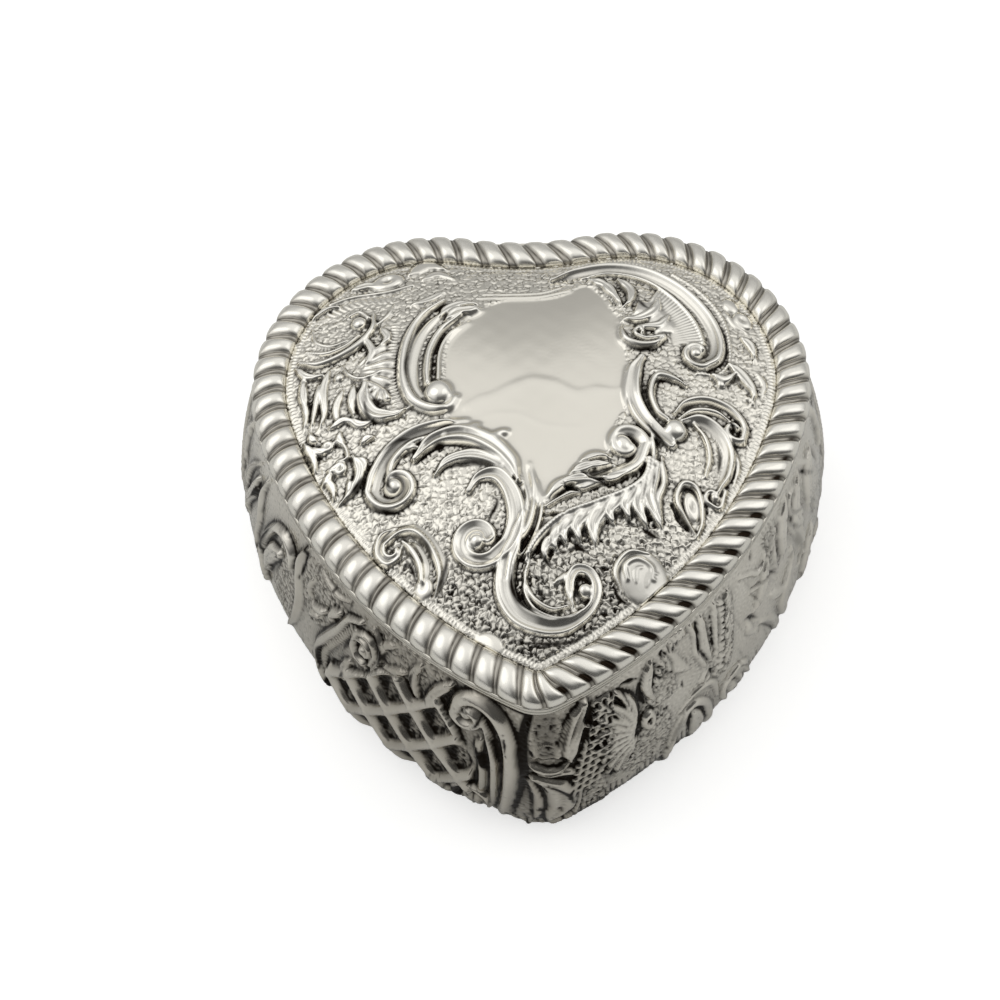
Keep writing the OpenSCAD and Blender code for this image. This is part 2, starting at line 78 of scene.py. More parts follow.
def addMath(tree, operation, first, second, **settings):
    # second is a socket or a number
    number = isinstance(second, (int, float))
    inputs, links = ({1: second}, {0: first}) if number else ({}, {0: first, 1: second})
    return addNode(tree, "ShaderNodeMath", inputs, links, operation=operation, **settings).outputs[0]


def addNoise(tree, spot, size, inputs):  # size is the length in mm that one speckle takes
    inputs = {"Scale": 1 / (size * mm), **inputs}
    return addNode(tree, "ShaderNodeTexNoise", inputs, {"Vector": spot}).outputs["Fac"]


def addBump(tree, height, strength, depth):
    return addNode(tree, "ShaderNodeBump", {"Strength": strength, "Distance": depth * mm},
                   {"Height": height}).outputs[0]


def newMaterial(name):
    material = bpy.data.materials.new(name)
    material.use_nodes = True
    tree = material.node_tree
    tree.nodes.clear()
    return material, tree


def finishMaterial(tree, inputs, links):
    shader = addNode(tree, "ShaderNodeBsdfPrincipled", inputs, links)
    addNode(tree, "ShaderNodeOutputMaterial", links={"Surface": shader.outputs[0]})


# Heart outline as four arcs that touch: cleft, lobe, side, tip. All lengths below are in mm.
heart = {
    "lidWidth": 86.0, "lobeRadius": 28.2, "tipReach": 55.7, "sideRadius": 77.0, "tipRadius": 7.0,
    "cleftRadius": 45.0,
}


def heartArcs():
    lobe = np.array([heart["lidWidth"] / 2 - heart["lobeRadius"], 0.0])
    tip = np.array([0.0, heart["tipRadius"] - heart["tipReach"]])
    cleftY = math.sqrt((heart["lobeRadius"] + heart["cleftRadius"]) ** 2 - lobe[0] ** 2)
    cleft = np.array([0.0, cleftY])
    a, b = heart["sideRadius"] - heart["lobeRadius"], heart["sideRadius"] - heart["tipRadius"]
    gap = np.hypot(*(tip - lobe))
    u = (tip - lobe) / gap
    along = (a * a - b * b + gap * gap) / (2 * gap)
    side = lobe + along * u + math.sqrt(a * a - along * along) * np.array([u[1], -u[0]])
    cleftEnd = math.atan2(*(lobe - cleft)[::-1])
    lobeEnd = math.atan2(*(lobe - side)[::-1])
    sideEnd = math.atan2(*(tip - side)[::-1])
    return [
        (cleft, heart["cleftRadius"], -math.pi / 2, cleftEnd, -1),
        (lobe, heart["lobeRadius"], cleftEnd + math.pi, lobeEnd, 1),
        (side, heart["sideRadius"], lobeEnd, sideEnd, 1),
        (tip, heart["tipRadius"], sideEnd, -math.pi / 2, 1),
    ]


arcs = heartArcs()
arcLengths = [radius * abs(end - start) for _, radius, start, end, _ in arcs]
halfLength = sum(arcLengths)


def outlineAt(distance):
    # points and outward directions at distances round the lid's edge, clockwise from the cleft
    distance = np.mod(np.asarray(distance, float), 2 * halfLength)
    left = distance > halfLength
    s = np.where(left, 2 * halfLength - distance, distance)
    point, outward, begun = np.zeros((*s.shape, 2)), np.zeros((*s.shape, 2)), 0.0
    for (centre, radius, start, end, sign), length in zip(arcs, arcLengths):
        here = (s >= begun - 1e-9) & (s <= begun + length + 1e-9)
        angle = start + (end - start) * (s[here] - begun) / length
        d = np.stack([np.cos(angle), np.sin(angle)], -1)
        point[here], outward[here] = centre + radius * d, sign * d
        begun += length
    point[left, 0] *= -1
    outward[left, 0] *= -1
    return point, outward


# Levels and offsets that the pieces share, as in the part's source
level = {
    "sheet": 0.8, "wallFoot": 0.82, "wallTop": 34.18, "mouth": 35.0, "joint": 35.1, "border": 36.12,
    "panel": 37.02, "belly": 7.5, "bezelTop": 36.4, "bezelFoot": 31.0,
}
domeRise = 6.0
domeCentre = np.array([0.0, -27.5 / 3])
panelOff = -5.42


def wallOff(z):
    z = np.asarray(z, float)
    upper = -0.6 + 3.9 * np.sin(math.pi / 2 * (35 - z) / (35 - level["belly"]))
    lower = 3.3 - 3.0 * (1 - np.cos(math.pi / 2 * (level["belly"] - z) / level["belly"]))
    return np.where(z >= level["belly"], upper, lower)


def rimShare(x, y):
    # how far out from the dome's centre a point lies, 1 on the rim of the lid's panel
    rim, outward = outlineAt(np.linspace(0, 2 * halfLength, 2400, endpoint=False))
    rim = rim + panelOff * outward - domeCentre
    angles, radii = np.arctan2(rim[:, 1], rim[:, 0]), np.hypot(rim[:, 0], rim[:, 1])
    order = np.argsort(angles)
    angle = np.arctan2(y - domeCentre[1], x - domeCentre[0])
    here = np.interp(angle, angles[order], radii[order], period=2 * math.pi)
    return np.hypot(x - domeCentre[0], y - domeCentre[1]) / here


# Relief tools. A field is a sheet of metal laid flat, with heights above it in mm.
def newField(u, v):
    sheets = {key: np.zeros((len(v), len(u))) for key in ("relief", "plain", "paintShade")}
    return {"u": np.asarray(u, float), "v": np.asarray(v, float), **sheets}


def smoothLine(points, step=0.2):
    p = np.array(points, float)
    q = np.vstack([2 * p[0] - p[1], p, 2 * p[-1] - p[-2]])
    out = []
    for i in range(1, len(q) - 2):
        a, b, c, d = q[i - 1:i + 3]
        t = np.linspace(0, 1, max(2, int(np.hypot(*(c - b)) / step) + 1), endpoint=False)[:, None]
        square, cube = 2 * a - 5 * b + 4 * c - d, 3 * b - a - 3 * c + d
        out.append(0.5 * (2 * b + (c - a) * t + square * t ** 2 + cube * t ** 3))
    return np.vstack([*out, p[-1:]])


def away(point, reach, angle):
    return (point[0] + reach * math.cos(angle), point[1] + reach * math.sin(angle))


def withMiddle(points, bow=0.0):
    # gives a line of two ends a middle point
    if len(points) > 2:
        return points
    (ax, ay), (bx, by) = points
    return [points[0], ((ax + bx) / 2 + bow, (ay + by) / 2), points[1]]


def curled(path, centre, turns, endRadius):
    # carries a line on into a spiral round the centre; turns above 0 go anticlockwise
    start = path[-1] - np.array(centre)
    radius, angle = np.hypot(*start), math.atan2(start[1], start[0])
    t = np.linspace(0, 1, int(abs(turns) * 44) + 2)[1:, None]
    r = radius + (endRadius - radius) * t
    a = angle + 2 * math.pi * turns * t
    return np.vstack([path, np.array(centre) + r * np.hstack([np.cos(a), np.sin(a)])])


def window(field, low, high):
    i = np.searchsorted(field["u"], (low[0], high[0]))
    j = np.searchsorted(field["v"], (low[1], high[1]))
    x, y = np.meshgrid(field["u"][i[0]:i[1]], field["v"][j[0]:j[1]])
    return (slice(*j), slice(*i)), x, y


def follow(field, path, reach):
    # for the points near a line: signed distance from it, share of its length, length run
    block, x, y = window(field, path.min(0) - reach, path.max(0) + reach)
    best, pick = np.full(x.shape, 1e9), np.zeros(x.shape, int)
    for k, (px, py) in enumerate(path):
        d = (x - px) ** 2 + (y - py) ** 2
        nearer = d < best
        best[nearer], pick[nearer] = d[nearer], k
    heading = np.gradient(path, axis=0)
    heading /= np.hypot(heading[:, 0], heading[:, 1])[:, None] + 1e-12
    run = np.concatenate([[0], np.cumsum(np.hypot(*np.diff(path, axis=0).T))])
    dx, dy, hx, hy = x - path[pick, 0], y - path[pick, 1], heading[pick, 0], heading[pick, 1]
    along, side = hx * dx + hy * dy, hx * dy - hy * dx
    side = np.where(np.abs(along) < 0.2, side, np.copysign(np.sqrt(best), side))  # round off past either end
    length = run[pick] + along
    return block, side, np.clip(length / run[-1], 0, 1), length


def through(knots, t):
    # soft curve through evenly spaced heights
    knots = np.array(knots, float)
    if len(knots) == 1:
        return np.full(np.shape(t), knots[0])
    x = np.clip(t, 0, 1) * (len(knots) - 1)
    i = np.minimum(x.astype(int), len(knots) - 2)
    f = 0.5 - 0.5 * np.cos(math.pi * (x - i))
    return knots[i] * (1 - f) + knots[i + 1] * f


def raiseTo(field, block, height, inside, base=0.0):
    here = field["relief"][block]
    here[inside] = np.maximum(here[inside], height[inside] + base)


# Sections across a scroll, from its left edge to its right edge
rib = (0.7, 1, 0.7)
channel = (0.8, 1, 0.62, 0.42, 0.5, 0.86, 0.7)
rollLeft = (0.8, 1, 0.8, 0.42, 0.3, 0.42)
rollRight = rollLeft[::-1]
slopeRight = (0.25, 0.5, 0.8, 1)


def scroll(field, points, width, rise, section=rib, taper=(1,), lift=(1,), curl=None, sharp=2.6, base=0.0):
    path = smoothLine(points)
    if curl:
        path = curled(path, *curl)
    block, side, share, _ = follow(field, path, width)
    across = side / (width / 2 * through(taper, share))
    inside = np.abs(across) < 1
    height = rise * through(lift, share) * through(section, (1 - across) / 2)
    height = height * np.sqrt(np.clip(1 - np.abs(across) ** sharp, 0, 1))
    raiseTo(field, block, height, inside, base)


def leaf(field, points, width, rise, veins=1, notches=0, base=0.0, taper=(0.35, 0.9, 1, 0.85, 0.5, 0.06),
         hollow=0.28, lift=(1,)):
    path = smoothLine(points)
    block, side, share, _ = follow(field, path, width)
    half = width / 2 * through(taper, share)
    if notches:  # cut edge of an acanthus leaf
        half = half * (0.72 + 0.28 * np.abs(np.sin(math.pi * notches * share)))
    across = side / half
    inside = np.abs(across) < 1
    height = np.sqrt(np.clip(1 - np.abs(across) ** 3, 0, 1))
    height = height * (1 - hollow * (0.5 + 0.5 * np.cos(2 * math.pi * veins * across)))
    raiseTo(field, block, rise * through(lift, share) * height, inside, base)


def boss(field, centre, radius, rise, stretch=1.0, tilt=0.0, dimple=0.0):
    reach = radius * max(1, stretch)
    block, x, y = window(field, np.array(centre) - reach, np.array(centre) + reach)
    c, s = math.cos(math.radians(tilt)), math.sin(math.radians(tilt))
    dx, dy = x - centre[0], y - centre[1]
    r = np.hypot((c * dx + s * dy) / stretch, c * dy - s * dx) / radius
    height = rise * np.sqrt(np.clip(1 - r ** 2.4, 0, 1)) - dimple * np.exp(-(r / 0.35) ** 2)
    raiseTo(field, block, height, r < 1)


def fan(field, centre, inner, outer, start, stop, flutes, rise, dip=0.55, lift=(0.7, 1, 1, 0.8), scallop=0.1):
    block, x, y = window(field, np.array(centre) - outer, np.array(centre) + outer)
    dx, dy = x - centre[0], y - centre[1]
    r, angle = np.hypot(dx, dy), np.degrees(np.arctan2(dy, dx))
    turn = np.mod((angle - start) * np.sign(stop - start), 360) / abs(stop - start)
    ridge = np.abs(np.sin(math.pi * flutes * turn))
    out = (r - inner) / ((outer - inner) * (1 - scallop * (1 - ridge)))
    inside = (turn <= 1) & (out > 0) & (out < 1)
    ends = np.sqrt(np.clip(1 - np.abs(2 * out - 1) ** 8, 0, 1))
    raiseTo(field, block, rise * through(lift, out) * (1 - dip + dip * ridge) * ends, inside)


def beads(field, points, size, pitch, rise, base=0.0):
    path = smoothLine(points, 0.1)
    block, side, share, length = follow(field, path, size)
    r = np.hypot(side, np.mod(length, pitch) - pitch / 2) / (size / 2)
    raiseTo(field, block, rise * np.sqrt(np.clip(1 - r * r, 0, 1)), (r < 1) & (share > 0) & (share < 1), base)


def ticks(field, points, width, pitch, rise, lean=0.0):
    path = smoothLine(points, 0.1)
    block, side, share, length = follow(field, path, width)
    across = side / (width / 2)
    wave = np.clip(0.5 + 0.5 * np.cos(2 * math.pi * (length + lean * side) / pitch), 0, 1)
    height = rise * wave * np.sqrt(np.clip(1 - across ** 4, 0, 1))
    raiseTo(field, block, height, (np.abs(across) < 1) & (share > 0) & (share < 1))


def cut(field, points, width, depth, dark=1.0):
    path = smoothLine(points)
    block, side, share, _ = follow(field, path, width)
    across = side / (width / 2 * through((0.2, 1, 0.2), share))  # fine at both ends
    inside = np.abs(across) < 1
    field["relief"][block] -= np.where(inside, depth * (1 - across ** 2), 0)
    # the cut is also darkened: painted shade in the groove
    field["paintShade"][block] = np.maximum(field["paintShade"][block], np.where(inside, dark * (1 - across ** 4), 0))


def paintShade(field, points, width, amount=1.0, taper=(0.1, 1, 0.1)):
    # painted shade laid along a line, in deep corners and under the raised work
    path = smoothLine(points)
    block, side, share, _ = follow(field, path, width)
    across = side / (width / 2 * through(taper, share))
    dark = np.where(np.abs(across) < 1, amount * (1 - np.clip(across, -1, 1) ** 4), 0)
    field["paintShade"][block] = np.maximum(field["paintShade"][block], dark)


def grain(field, size, seed):
    # even random swell with one main wavelength, about -1 to 1
    rng, n = np.random.default_rng(seed), 512
    waves = np.hypot(np.fft.fftfreq(n)[:, None], np.fft.rfftfreq(n)[None, :]) * 8
    tile = np.fft.irfft2(np.fft.rfft2(rng.standard_normal((n, n))) * np.exp(-((waves - 1) / 0.35) ** 2),
                         s=(n, n))
    x, y = np.meshgrid(field["u"] * 8 / size, field["v"] * 8 / size)
    i, j = np.floor(x).astype(int), np.floor(y).astype(int)
    fx, fy = np.mod(x, 1), np.mod(y, 1)
    near = [tile[(j + b) % n, (i + a) % n] for b in (0, 1) for a in (0, 1)]
    mixed = (near[0] * (1 - fx) + near[1] * fx) * (1 - fy) + (near[2] * (1 - fx) + near[3] * fx) * fy
    return mixed / (2 * tile.std())


def cells(field, size, seed):
    # distance to the nearest and the next cell centre, and a number for each cell
    wide, warp = 97, 0.3
    table = np.random.default_rng(seed).random((wide, wide, 3))
    x, y = np.meshgrid(field["u"] / size, field["v"] / size)
    x, y = x + warp * grain(field, size * 1.2, seed + 1), y + warp * grain(field, size * 1.2, seed + 2)
    first, second, lot = np.full(x.shape, 9.0), np.full(x.shape, 9.0), np.zeros(x.shape)
    iu, iv = np.floor(x).astype(int), np.floor(y).astype(int)
    for du in (-1, 0, 1):
        for dv in (-1, 0, 1):
            pick = table[(iu + du) % wide, (iv + dv) % wide]
            d = np.hypot(iu + du + 0.15 + 0.7 * pick[..., 0] - x, iv + dv + 0.15 + 0.7 * pick[..., 1] - y)
            nearer = d < first
            second = np.where(nearer, first, np.minimum(second, d))
            lot = np.where(nearer, pick[..., 2], lot)
            first = np.where(nearer, d, first)
    return first, second, lot


def pebbled(field, size, seed):
    # hammered ground: height of the rounded grains, 0 to 1, and the lines of painted shade between them
    first, second, lot = cells(field, size, seed)
    edge = np.clip((second - first) / 0.3, 0, 1)
    # some run into their neighbours
    merge = np.clip(0.75 + 0.7 * grain(field, size * 2.4, seed + 3), 0.15, 1)
    high = (0.4 + 0.6 * np.clip(1 - (first / 0.8) ** 2, 0, 1)) * (1 - merge * (1 - edge) ** 2)
    high = high * (0.6 + 0.4 * lot)
    return high, merge * np.clip(1 - (second - first) / 0.24, 0, 1)


def softWaves(field, size, seed):
    # slow unevenness of hand-raised sheet, about -1 to 1
    x, y = np.meshgrid(field["u"], field["v"])
    rng, total = np.random.default_rng(seed), 0.0
    for _ in range(7):
        angle, phase = rng.uniform(0, 2 * math.pi, 2).tolist()
        k = rng.uniform(0.6, 1.5) * 2 * math.pi / size
        total = total + np.sin(k * (x * math.cos(angle) + y * math.sin(angle)) + phase)
    return total / 7


def blurred(sheet, cellsWide):
    fy, fx = np.fft.fftfreq(sheet.shape[0])[:, None], np.fft.rfftfreq(sheet.shape[1])[None, :]
    keep = np.exp(-2 * (math.pi * cellsWide) ** 2 * (fx ** 2 + fy ** 2))
    return np.fft.irfft2(np.fft.rfft2(sheet) * keep, s=sheet.shape)


def recessOf(height, step, radii=(0.3, 0.8), gains=(5.0, 0.8)):
    # how far each point lies below its surroundings, for the tarnish and painted shade in the hollows
    total = 0.0
    for radius, gain in zip(radii, gains):
        # shallow dips stay bright
        total = total + gain * np.clip(blurred(height, radius / step) - height - 0.035, 0, 1)
    return np.clip(total, 0, 1)


def inPolygon(x, y, corners):
    inside = np.zeros(x.shape, bool)
    for (ax, ay), (bx, by) in zip(corners, np.roll(corners, -1, 0)):
        if ay != by:
            span = (y > min(ay, by)) & (y <= max(ay, by))
            inside[span] ^= x[span] < ax + (y[span] - ay) * (bx - ax) / (by - ay)
    return inside


def bareGround(field, plain):
    # share of bare ground, 1 where no stroke reaches and the sheet isn't kept plain
    struck = blurred((field["relief"] > 0.05).astype(float), 0.8)
    return np.clip(1 - struck * 1.6, 0, 1) * (1 - np.clip(plain, 0, 1))


def insideHeart(x, y, off):
    rim, outward = outlineAt(np.linspace(0, 2 * halfLength, 1400, endpoint=False))
    return inPolygon(x, y, rim + off * outward)


# Mesh tools
def meshPiece(name, points, faces, body, material, replaced, values=None):
    mesh = bpy.data.meshes.new(name)
    mesh.from_pydata((np.asarray(points) * mm).tolist(), [], faces)
    for key, numbers in (values or {}).items():
        layer = mesh.attributes.new(key, "FLOAT", "POINT")
        layer.data.foreach_set("value", np.asarray(numbers, np.float32))
    mesh.shade_smooth()
    mesh.validate()
    mesh.update()
    piece = bpy.data.objects.new(name, mesh)
    bpy.context.scene.collection.objects.link(piece)
    piece.data.materials.append(material)
    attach(piece, body)
    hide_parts(*replaced)
    return piece


def ringFaces(rows, columns, looped=False):
    # quads between neighbouring rings of points, each ring closed on itself
    i = np.arange(columns)
    j = (i + 1) % columns
    faces = []
    for k in range(rows if looped else rows - 1):
        a, b = k * columns, (k + 1) % rows * columns
        faces += np.column_stack([a + i, b + i, b + j, a + j]).tolist()
    return faces


def sweepRings(rings, columns, looped=True):
    # skin over rings of (offset, z) round the heart: a closed band, or a plate with a top and an underside
    edge, outward = outlineAt(np.linspace(0, 2 * halfLength, columns, endpoint=False))
    points = np.vstack([np.column_stack([edge + outward * off, np.full(columns, z)]) for off, z in rings])
    faces = ringFaces(len(rings), columns, looped)
    if not looped:
        i = np.arange(columns)
        j = (i + 1) % columns
        top = (len(rings) - 1) * columns
        under, over = len(points), len(points) + 1
        points = np.vstack([points, [0, domeCentre[1], rings[0][1]], [0, domeCentre[1], rings[-1][1]]])
        faces += np.column_stack([np.full(columns, under), i, j]).tolist()
        faces += np.column_stack([top + j, top + i, np.full(columns, over)]).tolist()
    return points, faces


def roundedBand(outer, inner, low, high, radius=0.2, steps=3):
    # closed section of a flat band with rounded corners, as (offset, z) rings
    rings = []
    corners = ((outer - radius, low + radius, -90), (outer - radius, high - radius, 0),
               (inner + radius, high - radius, 90), (inner + radius, low + radius, 180))
    for off, z, angle in corners:
        for k in range(steps + 1):
            a = math.radians(angle + 90 * k / steps)
            rings.append((off + radius * math.cos(a), z + radius * math.sin(a)))
    return rings


print("tools ready")

# Polished sterling silver, chased and then oxidised: bright on the high parts, brown-black in the hollows, a
# dark that is partly tarnish and partly painted shade
silverLook = {
    "silver": "#F4F1E8", "toned": "#E9E5DA", "oxideAndShade": "#1D1813", "polish": 0.15, "dull": 0.4,
    "oxideAndShadeStrength": 1.0, "scratchSize": 0.35, "scratchDepth": 0.012, "wearSize": 6.0,
}
# The same silver on the wall, handled less and left to tone down: a warm grey film, rubbed off the high
# parts; the film colour is also painted darker, as shade for the darker surroundings the wall reflects
wallShadedLook = dict(silverLook, silver="#F2EEE4", toned="#B2ACA0", oxideAndShade="#1A150F", polish=0.14,
                  oxideAndShadeStrength=1.15, scratchDepth=0.02)
# Cast border: soft from years of polishing, dull cream in the grooves
castLook = dict(silverLook, toned="#DFDACE", oxideAndShade="#2A221A", polish=0.23, scratchDepth=0.03)
# Plain silver wire and plate, filed and burnished
plainLook = dict(silverLook, silver="#CFCBC0", polish=0.22)


def silverMaterial(name, look, chased=True):
    material, tree = newMaterial(name)
    spot = addNode(tree, "ShaderNodeTexCoord").outputs["Object"]
    film = addNoise(tree, spot, look["wearSize"], {"Detail": 4, "Roughness": 0.6})
    hairlines = addNoise(tree, spot, look["scratchSize"], {"Detail": 3, "Roughness": 0.7})
    # film in the flats, bare metal where it is rubbed, and on the wall also where sheen is painted by place
    metal = addMix(tree, look["toned"], look["silver"], {})
    if chased:
        # dark colour in the hollows, from the mesh: tarnish and painted shade
        hollow = addNode(tree, "ShaderNodeAttribute", attribute_name="oxideShadeMask").outputs["Fac"]
        uneven = addMath(tree, "ADD", film, 0.5)
        held = addMath(tree, "MULTIPLY", hollow, uneven)
        dark = addMath(tree, "MULTIPLY", held, look["oxideAndShadeStrength"], use_clamp=True)
        bareShare = addNode(tree, "ShaderNodeAttribute", attribute_name="wearAndSheen").outputs["Fac"]
        bareShare = addMath(tree, "MULTIPLY", bareShare, uneven, use_clamp=True)
    else:
        dark = addMath(tree, "MULTIPLY", film, 0.1)
        bareShare = film
    tree.links.new(bareShare, metal.inputs["Factor"])
    colour = addNode(tree, "ShaderNodeMix", {"B": hexToLinear(look["oxideAndShade"])},
                     {"Factor": dark, "A": metal.outputs["Result"]}, data_type="RGBA")
    uneven = {"To Min": look["polish"] - 0.03, "To Max": look["polish"] + 0.05}
    mottled = addNode(tree, "ShaderNodeMapRange", {"From Min": 0.35, "From Max": 0.7, **uneven},
                      {"Value": film})
    rough = addNode(tree, "ShaderNodeMapRange", {"To Max": look["dull"]},
                    {"Value": dark, "To Min": mottled.outputs[0]})
    fine = addBump(tree, hairlines, 0.35, look["scratchDepth"])
    finishMaterial(tree, {"Metallic": 1.0},
                   {"Base Color": colour.outputs["Result"], "Roughness": rough.outputs[0], "Normal": fine})
    return material


silverChased = silverMaterial("sterling silver, chased and oxidised", silverLook)
silverCast = silverMaterial("sterling silver, cast and burnished", castLook)
silverWallShaded = silverMaterial("sterling silver, chased and toned", wallShadedLook)
silverPlain = silverMaterial("sterling silver, burnished wire", plainLook, chased=False)
print("silver ready")

# Cotton velvet: short upright pile that catches light at grazing angles, with crushed patches
velvetLook = {
    "pile": "#5A2230", "crushed": "#3A121D", "sheenTint": "#C98A94", "pileSize": 0.45, "crushSize": 9.0,
}
# Silk satin: warp threads, drawn coarser than real ones so that they show, with a soft directional gloss
silkLook = {"silk": "#E6DCC8", "shade": "#CDBFA4", "threadSpacing": 0.3, "toneSize": 14}
# Grey board under the cloth
cardLook = {"card": "#B9A37E", "fibre": "#A18A66", "fibreSize": 1.2}


def velvetMaterial(look):
    material, tree = newMaterial("cotton velvet, short pile")
    spot = addNode(tree, "ShaderNodeTexCoord").outputs["Object"]
    crush = addNoise(tree, spot, look["crushSize"], {"Detail": 3, "Distortion": 0.6})
    pile = addNoise(tree, spot, look["pileSize"], {"Detail": 2})
    pressed = addNode(tree, "ShaderNodeMapRange", {"From Min": 0.42, "From Max": 0.62}, {"Value": crush})
    colour = addMix(tree, look["pile"], look["crushed"], {"Factor": pressed.outputs[0]})
    nap = addBump(tree, pile, 0.5, 0.12)
    sheen = {"Sheen Weight": 0.8, "Sheen Roughness": 0.35, "Sheen Tint": hexToLinear(look["sheenTint"])}
    finishMaterial(tree, {"Roughness": 0.95, **sheen},
                   {"Base Color": colour.outputs["Result"], "Normal": nap})
    return material


def silkMaterial(look):
    material, tree = newMaterial("silk satin, woven")
    spot = addNode(tree, "ShaderNodeTexCoord").outputs["Object"]
    scale = 1 / (look["threadSpacing"] * mm * 2 * math.pi) * math.pi
    threads = {"Scale": scale, "Distortion": 0.6, "Detail": 1}
    warp = addNode(tree, "ShaderNodeTexWave", threads, {"Vector": spot}, wave_type="BANDS",
                   bands_direction="X")
    tone = addNoise(tree, spot, look["toneSize"], {"Detail": 2})
    colour = addMix(tree, look["silk"], look["shade"], {"Factor": tone})
    weave = addBump(tree, warp.outputs["Fac"], 0.3, 0.05)
    finishMaterial(tree, {"Roughness": 0.38, "Sheen Weight": 0.25, "Anisotropic": 0.4},
                   {"Base Color": colour.outputs["Result"], "Normal": weave})
    return material


def cardMaterial(look):
    material, tree = newMaterial("grey board, pressed")
    spot = addNode(tree, "ShaderNodeTexCoord").outputs["Object"]
    fibre = addNoise(tree, spot, look["fibreSize"], {"Detail": 5})
    colour = addMix(tree, look["card"], look["fibre"], {"Factor": fibre})
    tooth = addBump(tree, fibre, 0.4, 0.05)
    finishMaterial(tree, {"Roughness": 0.9}, {"Base Color": colour.outputs["Result"], "Normal": tooth})
    return material


velvet, silk, card = velvetMaterial(velvetLook), silkMaterial(silkLook), cardMaterial(cardLook)
print("lining materials ready")

# Camera: looks down on the box from the front, turned very slightly
camera = {
    "azimuth": 0.2, "elevation": 56.54, "roll": -1.71, "distance": 441.9, "target": (0, 0, 36.1),
    "lens": 103.43, "shiftX": -0.0309, "shiftY": -0.1133,
}


def placeCamera():
    azimuth, elevation, roll = [math.radians(camera[k]) for k in ("azimuth", "elevation", "roll")]
    flat = math.cos(elevation)
    back = Vector((math.sin(azimuth) * flat, -math.cos(azimuth) * flat, math.sin(elevation)))
    right = Vector((math.cos(azimuth), math.sin(azimuth), 0))
    up = back.cross(right)
    x = math.cos(roll) * right + math.sin(roll) * up
    y = -math.sin(roll) * right + math.cos(roll) * up
    data = bpy.data.cameras.new("camera")
    data.sensor_width, data.lens = 36, camera["lens"]
    data.shift_x, data.shift_y = camera["shiftX"], camera["shiftY"]
    data.clip_start, data.clip_end = 0.02, 20
    seat = bpy.data.objects.new("camera", data)
    bpy.context.scene.collection.objects.link(seat)
    place = Matrix((x, y, back)).transposed().to_4x4()
    place.translation = Vector(camera["target"]) * mm + back * camera["distance"] * mm
    seat.matrix_world = place
    bpy.context.scene.camera = seat


placeCamera()

# Studio: a pale floor, a soft overhead light and a room that is darker low down at the front;
# each side of the room is a ramp of greys from the front over the top to the back
studio = {
    "floor": "#E0E0DE", "floorGlow": 0.6, "floorReach": 3.0, "keyPower": 1.1, "keySize": 1.1, "fillSize": 0.9,
    "left": ((0.0, 0.42), (0.14, 0.48), (0.2, 0.58), (0.26, 0.82), (0.34, 0.90), (0.5, 0.93), (0.62, 0.92),
             (0.7, 0.86), (0.8, 0.66), (0.9, 0.3), (1.0, 0.14)),
    "right": ((0.0, 0.42), (0.14, 0.48), (0.2, 0.58), (0.26, 0.82), (0.34, 0.90), (0.46, 0.92), (0.56, 0.8),
              (0.66, 0.48), (0.77, 0.13), (1.0, 0.08)),
    "turn": (-0.65, -0.2),
}


def makeStudio():
    mesh = bpy.data.meshes.new("floor")
    r = studio["floorReach"]
    mesh.from_pydata([(-r, -r, 0), (r, -r, 0), (r, r, 0), (-r, r, 0)], [], [(0, 1, 2, 3)])
    floor = bpy.data.objects.new("floor", mesh)
    floor.location.z = -0.2 * mm
    bpy.context.scene.collection.objects.link(floor)
    material, tree = newMaterial("painted board, matt white")
    seen = addNode(tree, "ShaderNodeLightPath").outputs["Is Camera Ray"]
    glow = addMath(tree, "MULTIPLY", seen, studio["floorGlow"])
    paint = {"Base Color": hexToLinear(studio["floor"]), "Roughness": 0.85, "Emission Color": (1, 1, 1, 1)}
    finishMaterial(tree, paint, {"Emission Strength": glow})
    mesh.materials.append(material)

    world = bpy.data.worlds.new("studio room")
    bpy.context.scene.world = world
    world.use_nodes = True
    tree = world.node_tree
    tree.nodes.clear()
    spot = addNode(tree, "ShaderNodeTexCoord").outputs["Generated"]
    way = addNode(tree, "ShaderNodeSeparateXYZ", links={"Vector": spot})
    lean = addMath(tree, "ARCTAN2", way.outputs["Z"], way.outputs["Y"])
    share = addMath(tree, "DIVIDE", lean, math.pi, use_clamp=True)
    left, right = [addRamp(tree, share, studio[k]) for k in ("left", "right")]
    start, stop = studio["turn"]
    turn = addNode(tree, "ShaderNodeMapRange", {"From Min": start, "From Max": stop},
                   {"Value": way.outputs["X"]})
    shade = addNode(tree, "ShaderNodeMix", links={"Factor": turn.outputs[0], "A": left, "B": right},
                    data_type="RGBA")
    glow = addNode(tree, "ShaderNodeBackground", links={"Color": shade.outputs["Result"]})
    addNode(tree, "ShaderNodeOutputWorld", links={"Surface": glow.outputs[0]})

    lamps = (("key light", (-0.7, 0.1, 1.0), studio["keySize"], studio["keyPower"]),
             ("fill light", (0.8, 0.0, 0.9), studio["fillSize"], studio["keyPower"] * 0.5))
    for name, where, size, power in lamps:
        lamp = bpy.data.lights.new(name, "AREA")
        lamp.shape, lamp.size, lamp.energy = "DISK", size, power
        holder = bpy.data.objects.new(name, lamp)
        bpy.context.scene.collection.objects.link(holder)
        holder.location = where
        holder.rotation_mode = "QUATERNION"
        holder.rotation_quaternion = (Vector(where) - Vector((0, -0.01, 0.02))).to_track_quat("Z", "Y")


makeStudio()
bpy.context.scene.view_settings.view_transform = "Standard"
print("camera and studio ready")

# Lid panel: one chased sheet, raised into scrolls and leaves round a plain cartouche
lidPanel = {
    "grid": 0.15, "pebble": 1.0, "pebbleRise": 0.46, "relief": 1.33, "seamShadeGain": 0.95, "sharp": 0.14, "soft": 0.4,
    "swell": 0.06, "ripple": 0.016, "tooth": 0.0022, "rings": (1, 0.8, 0.55, 0.3, 0.08),
}


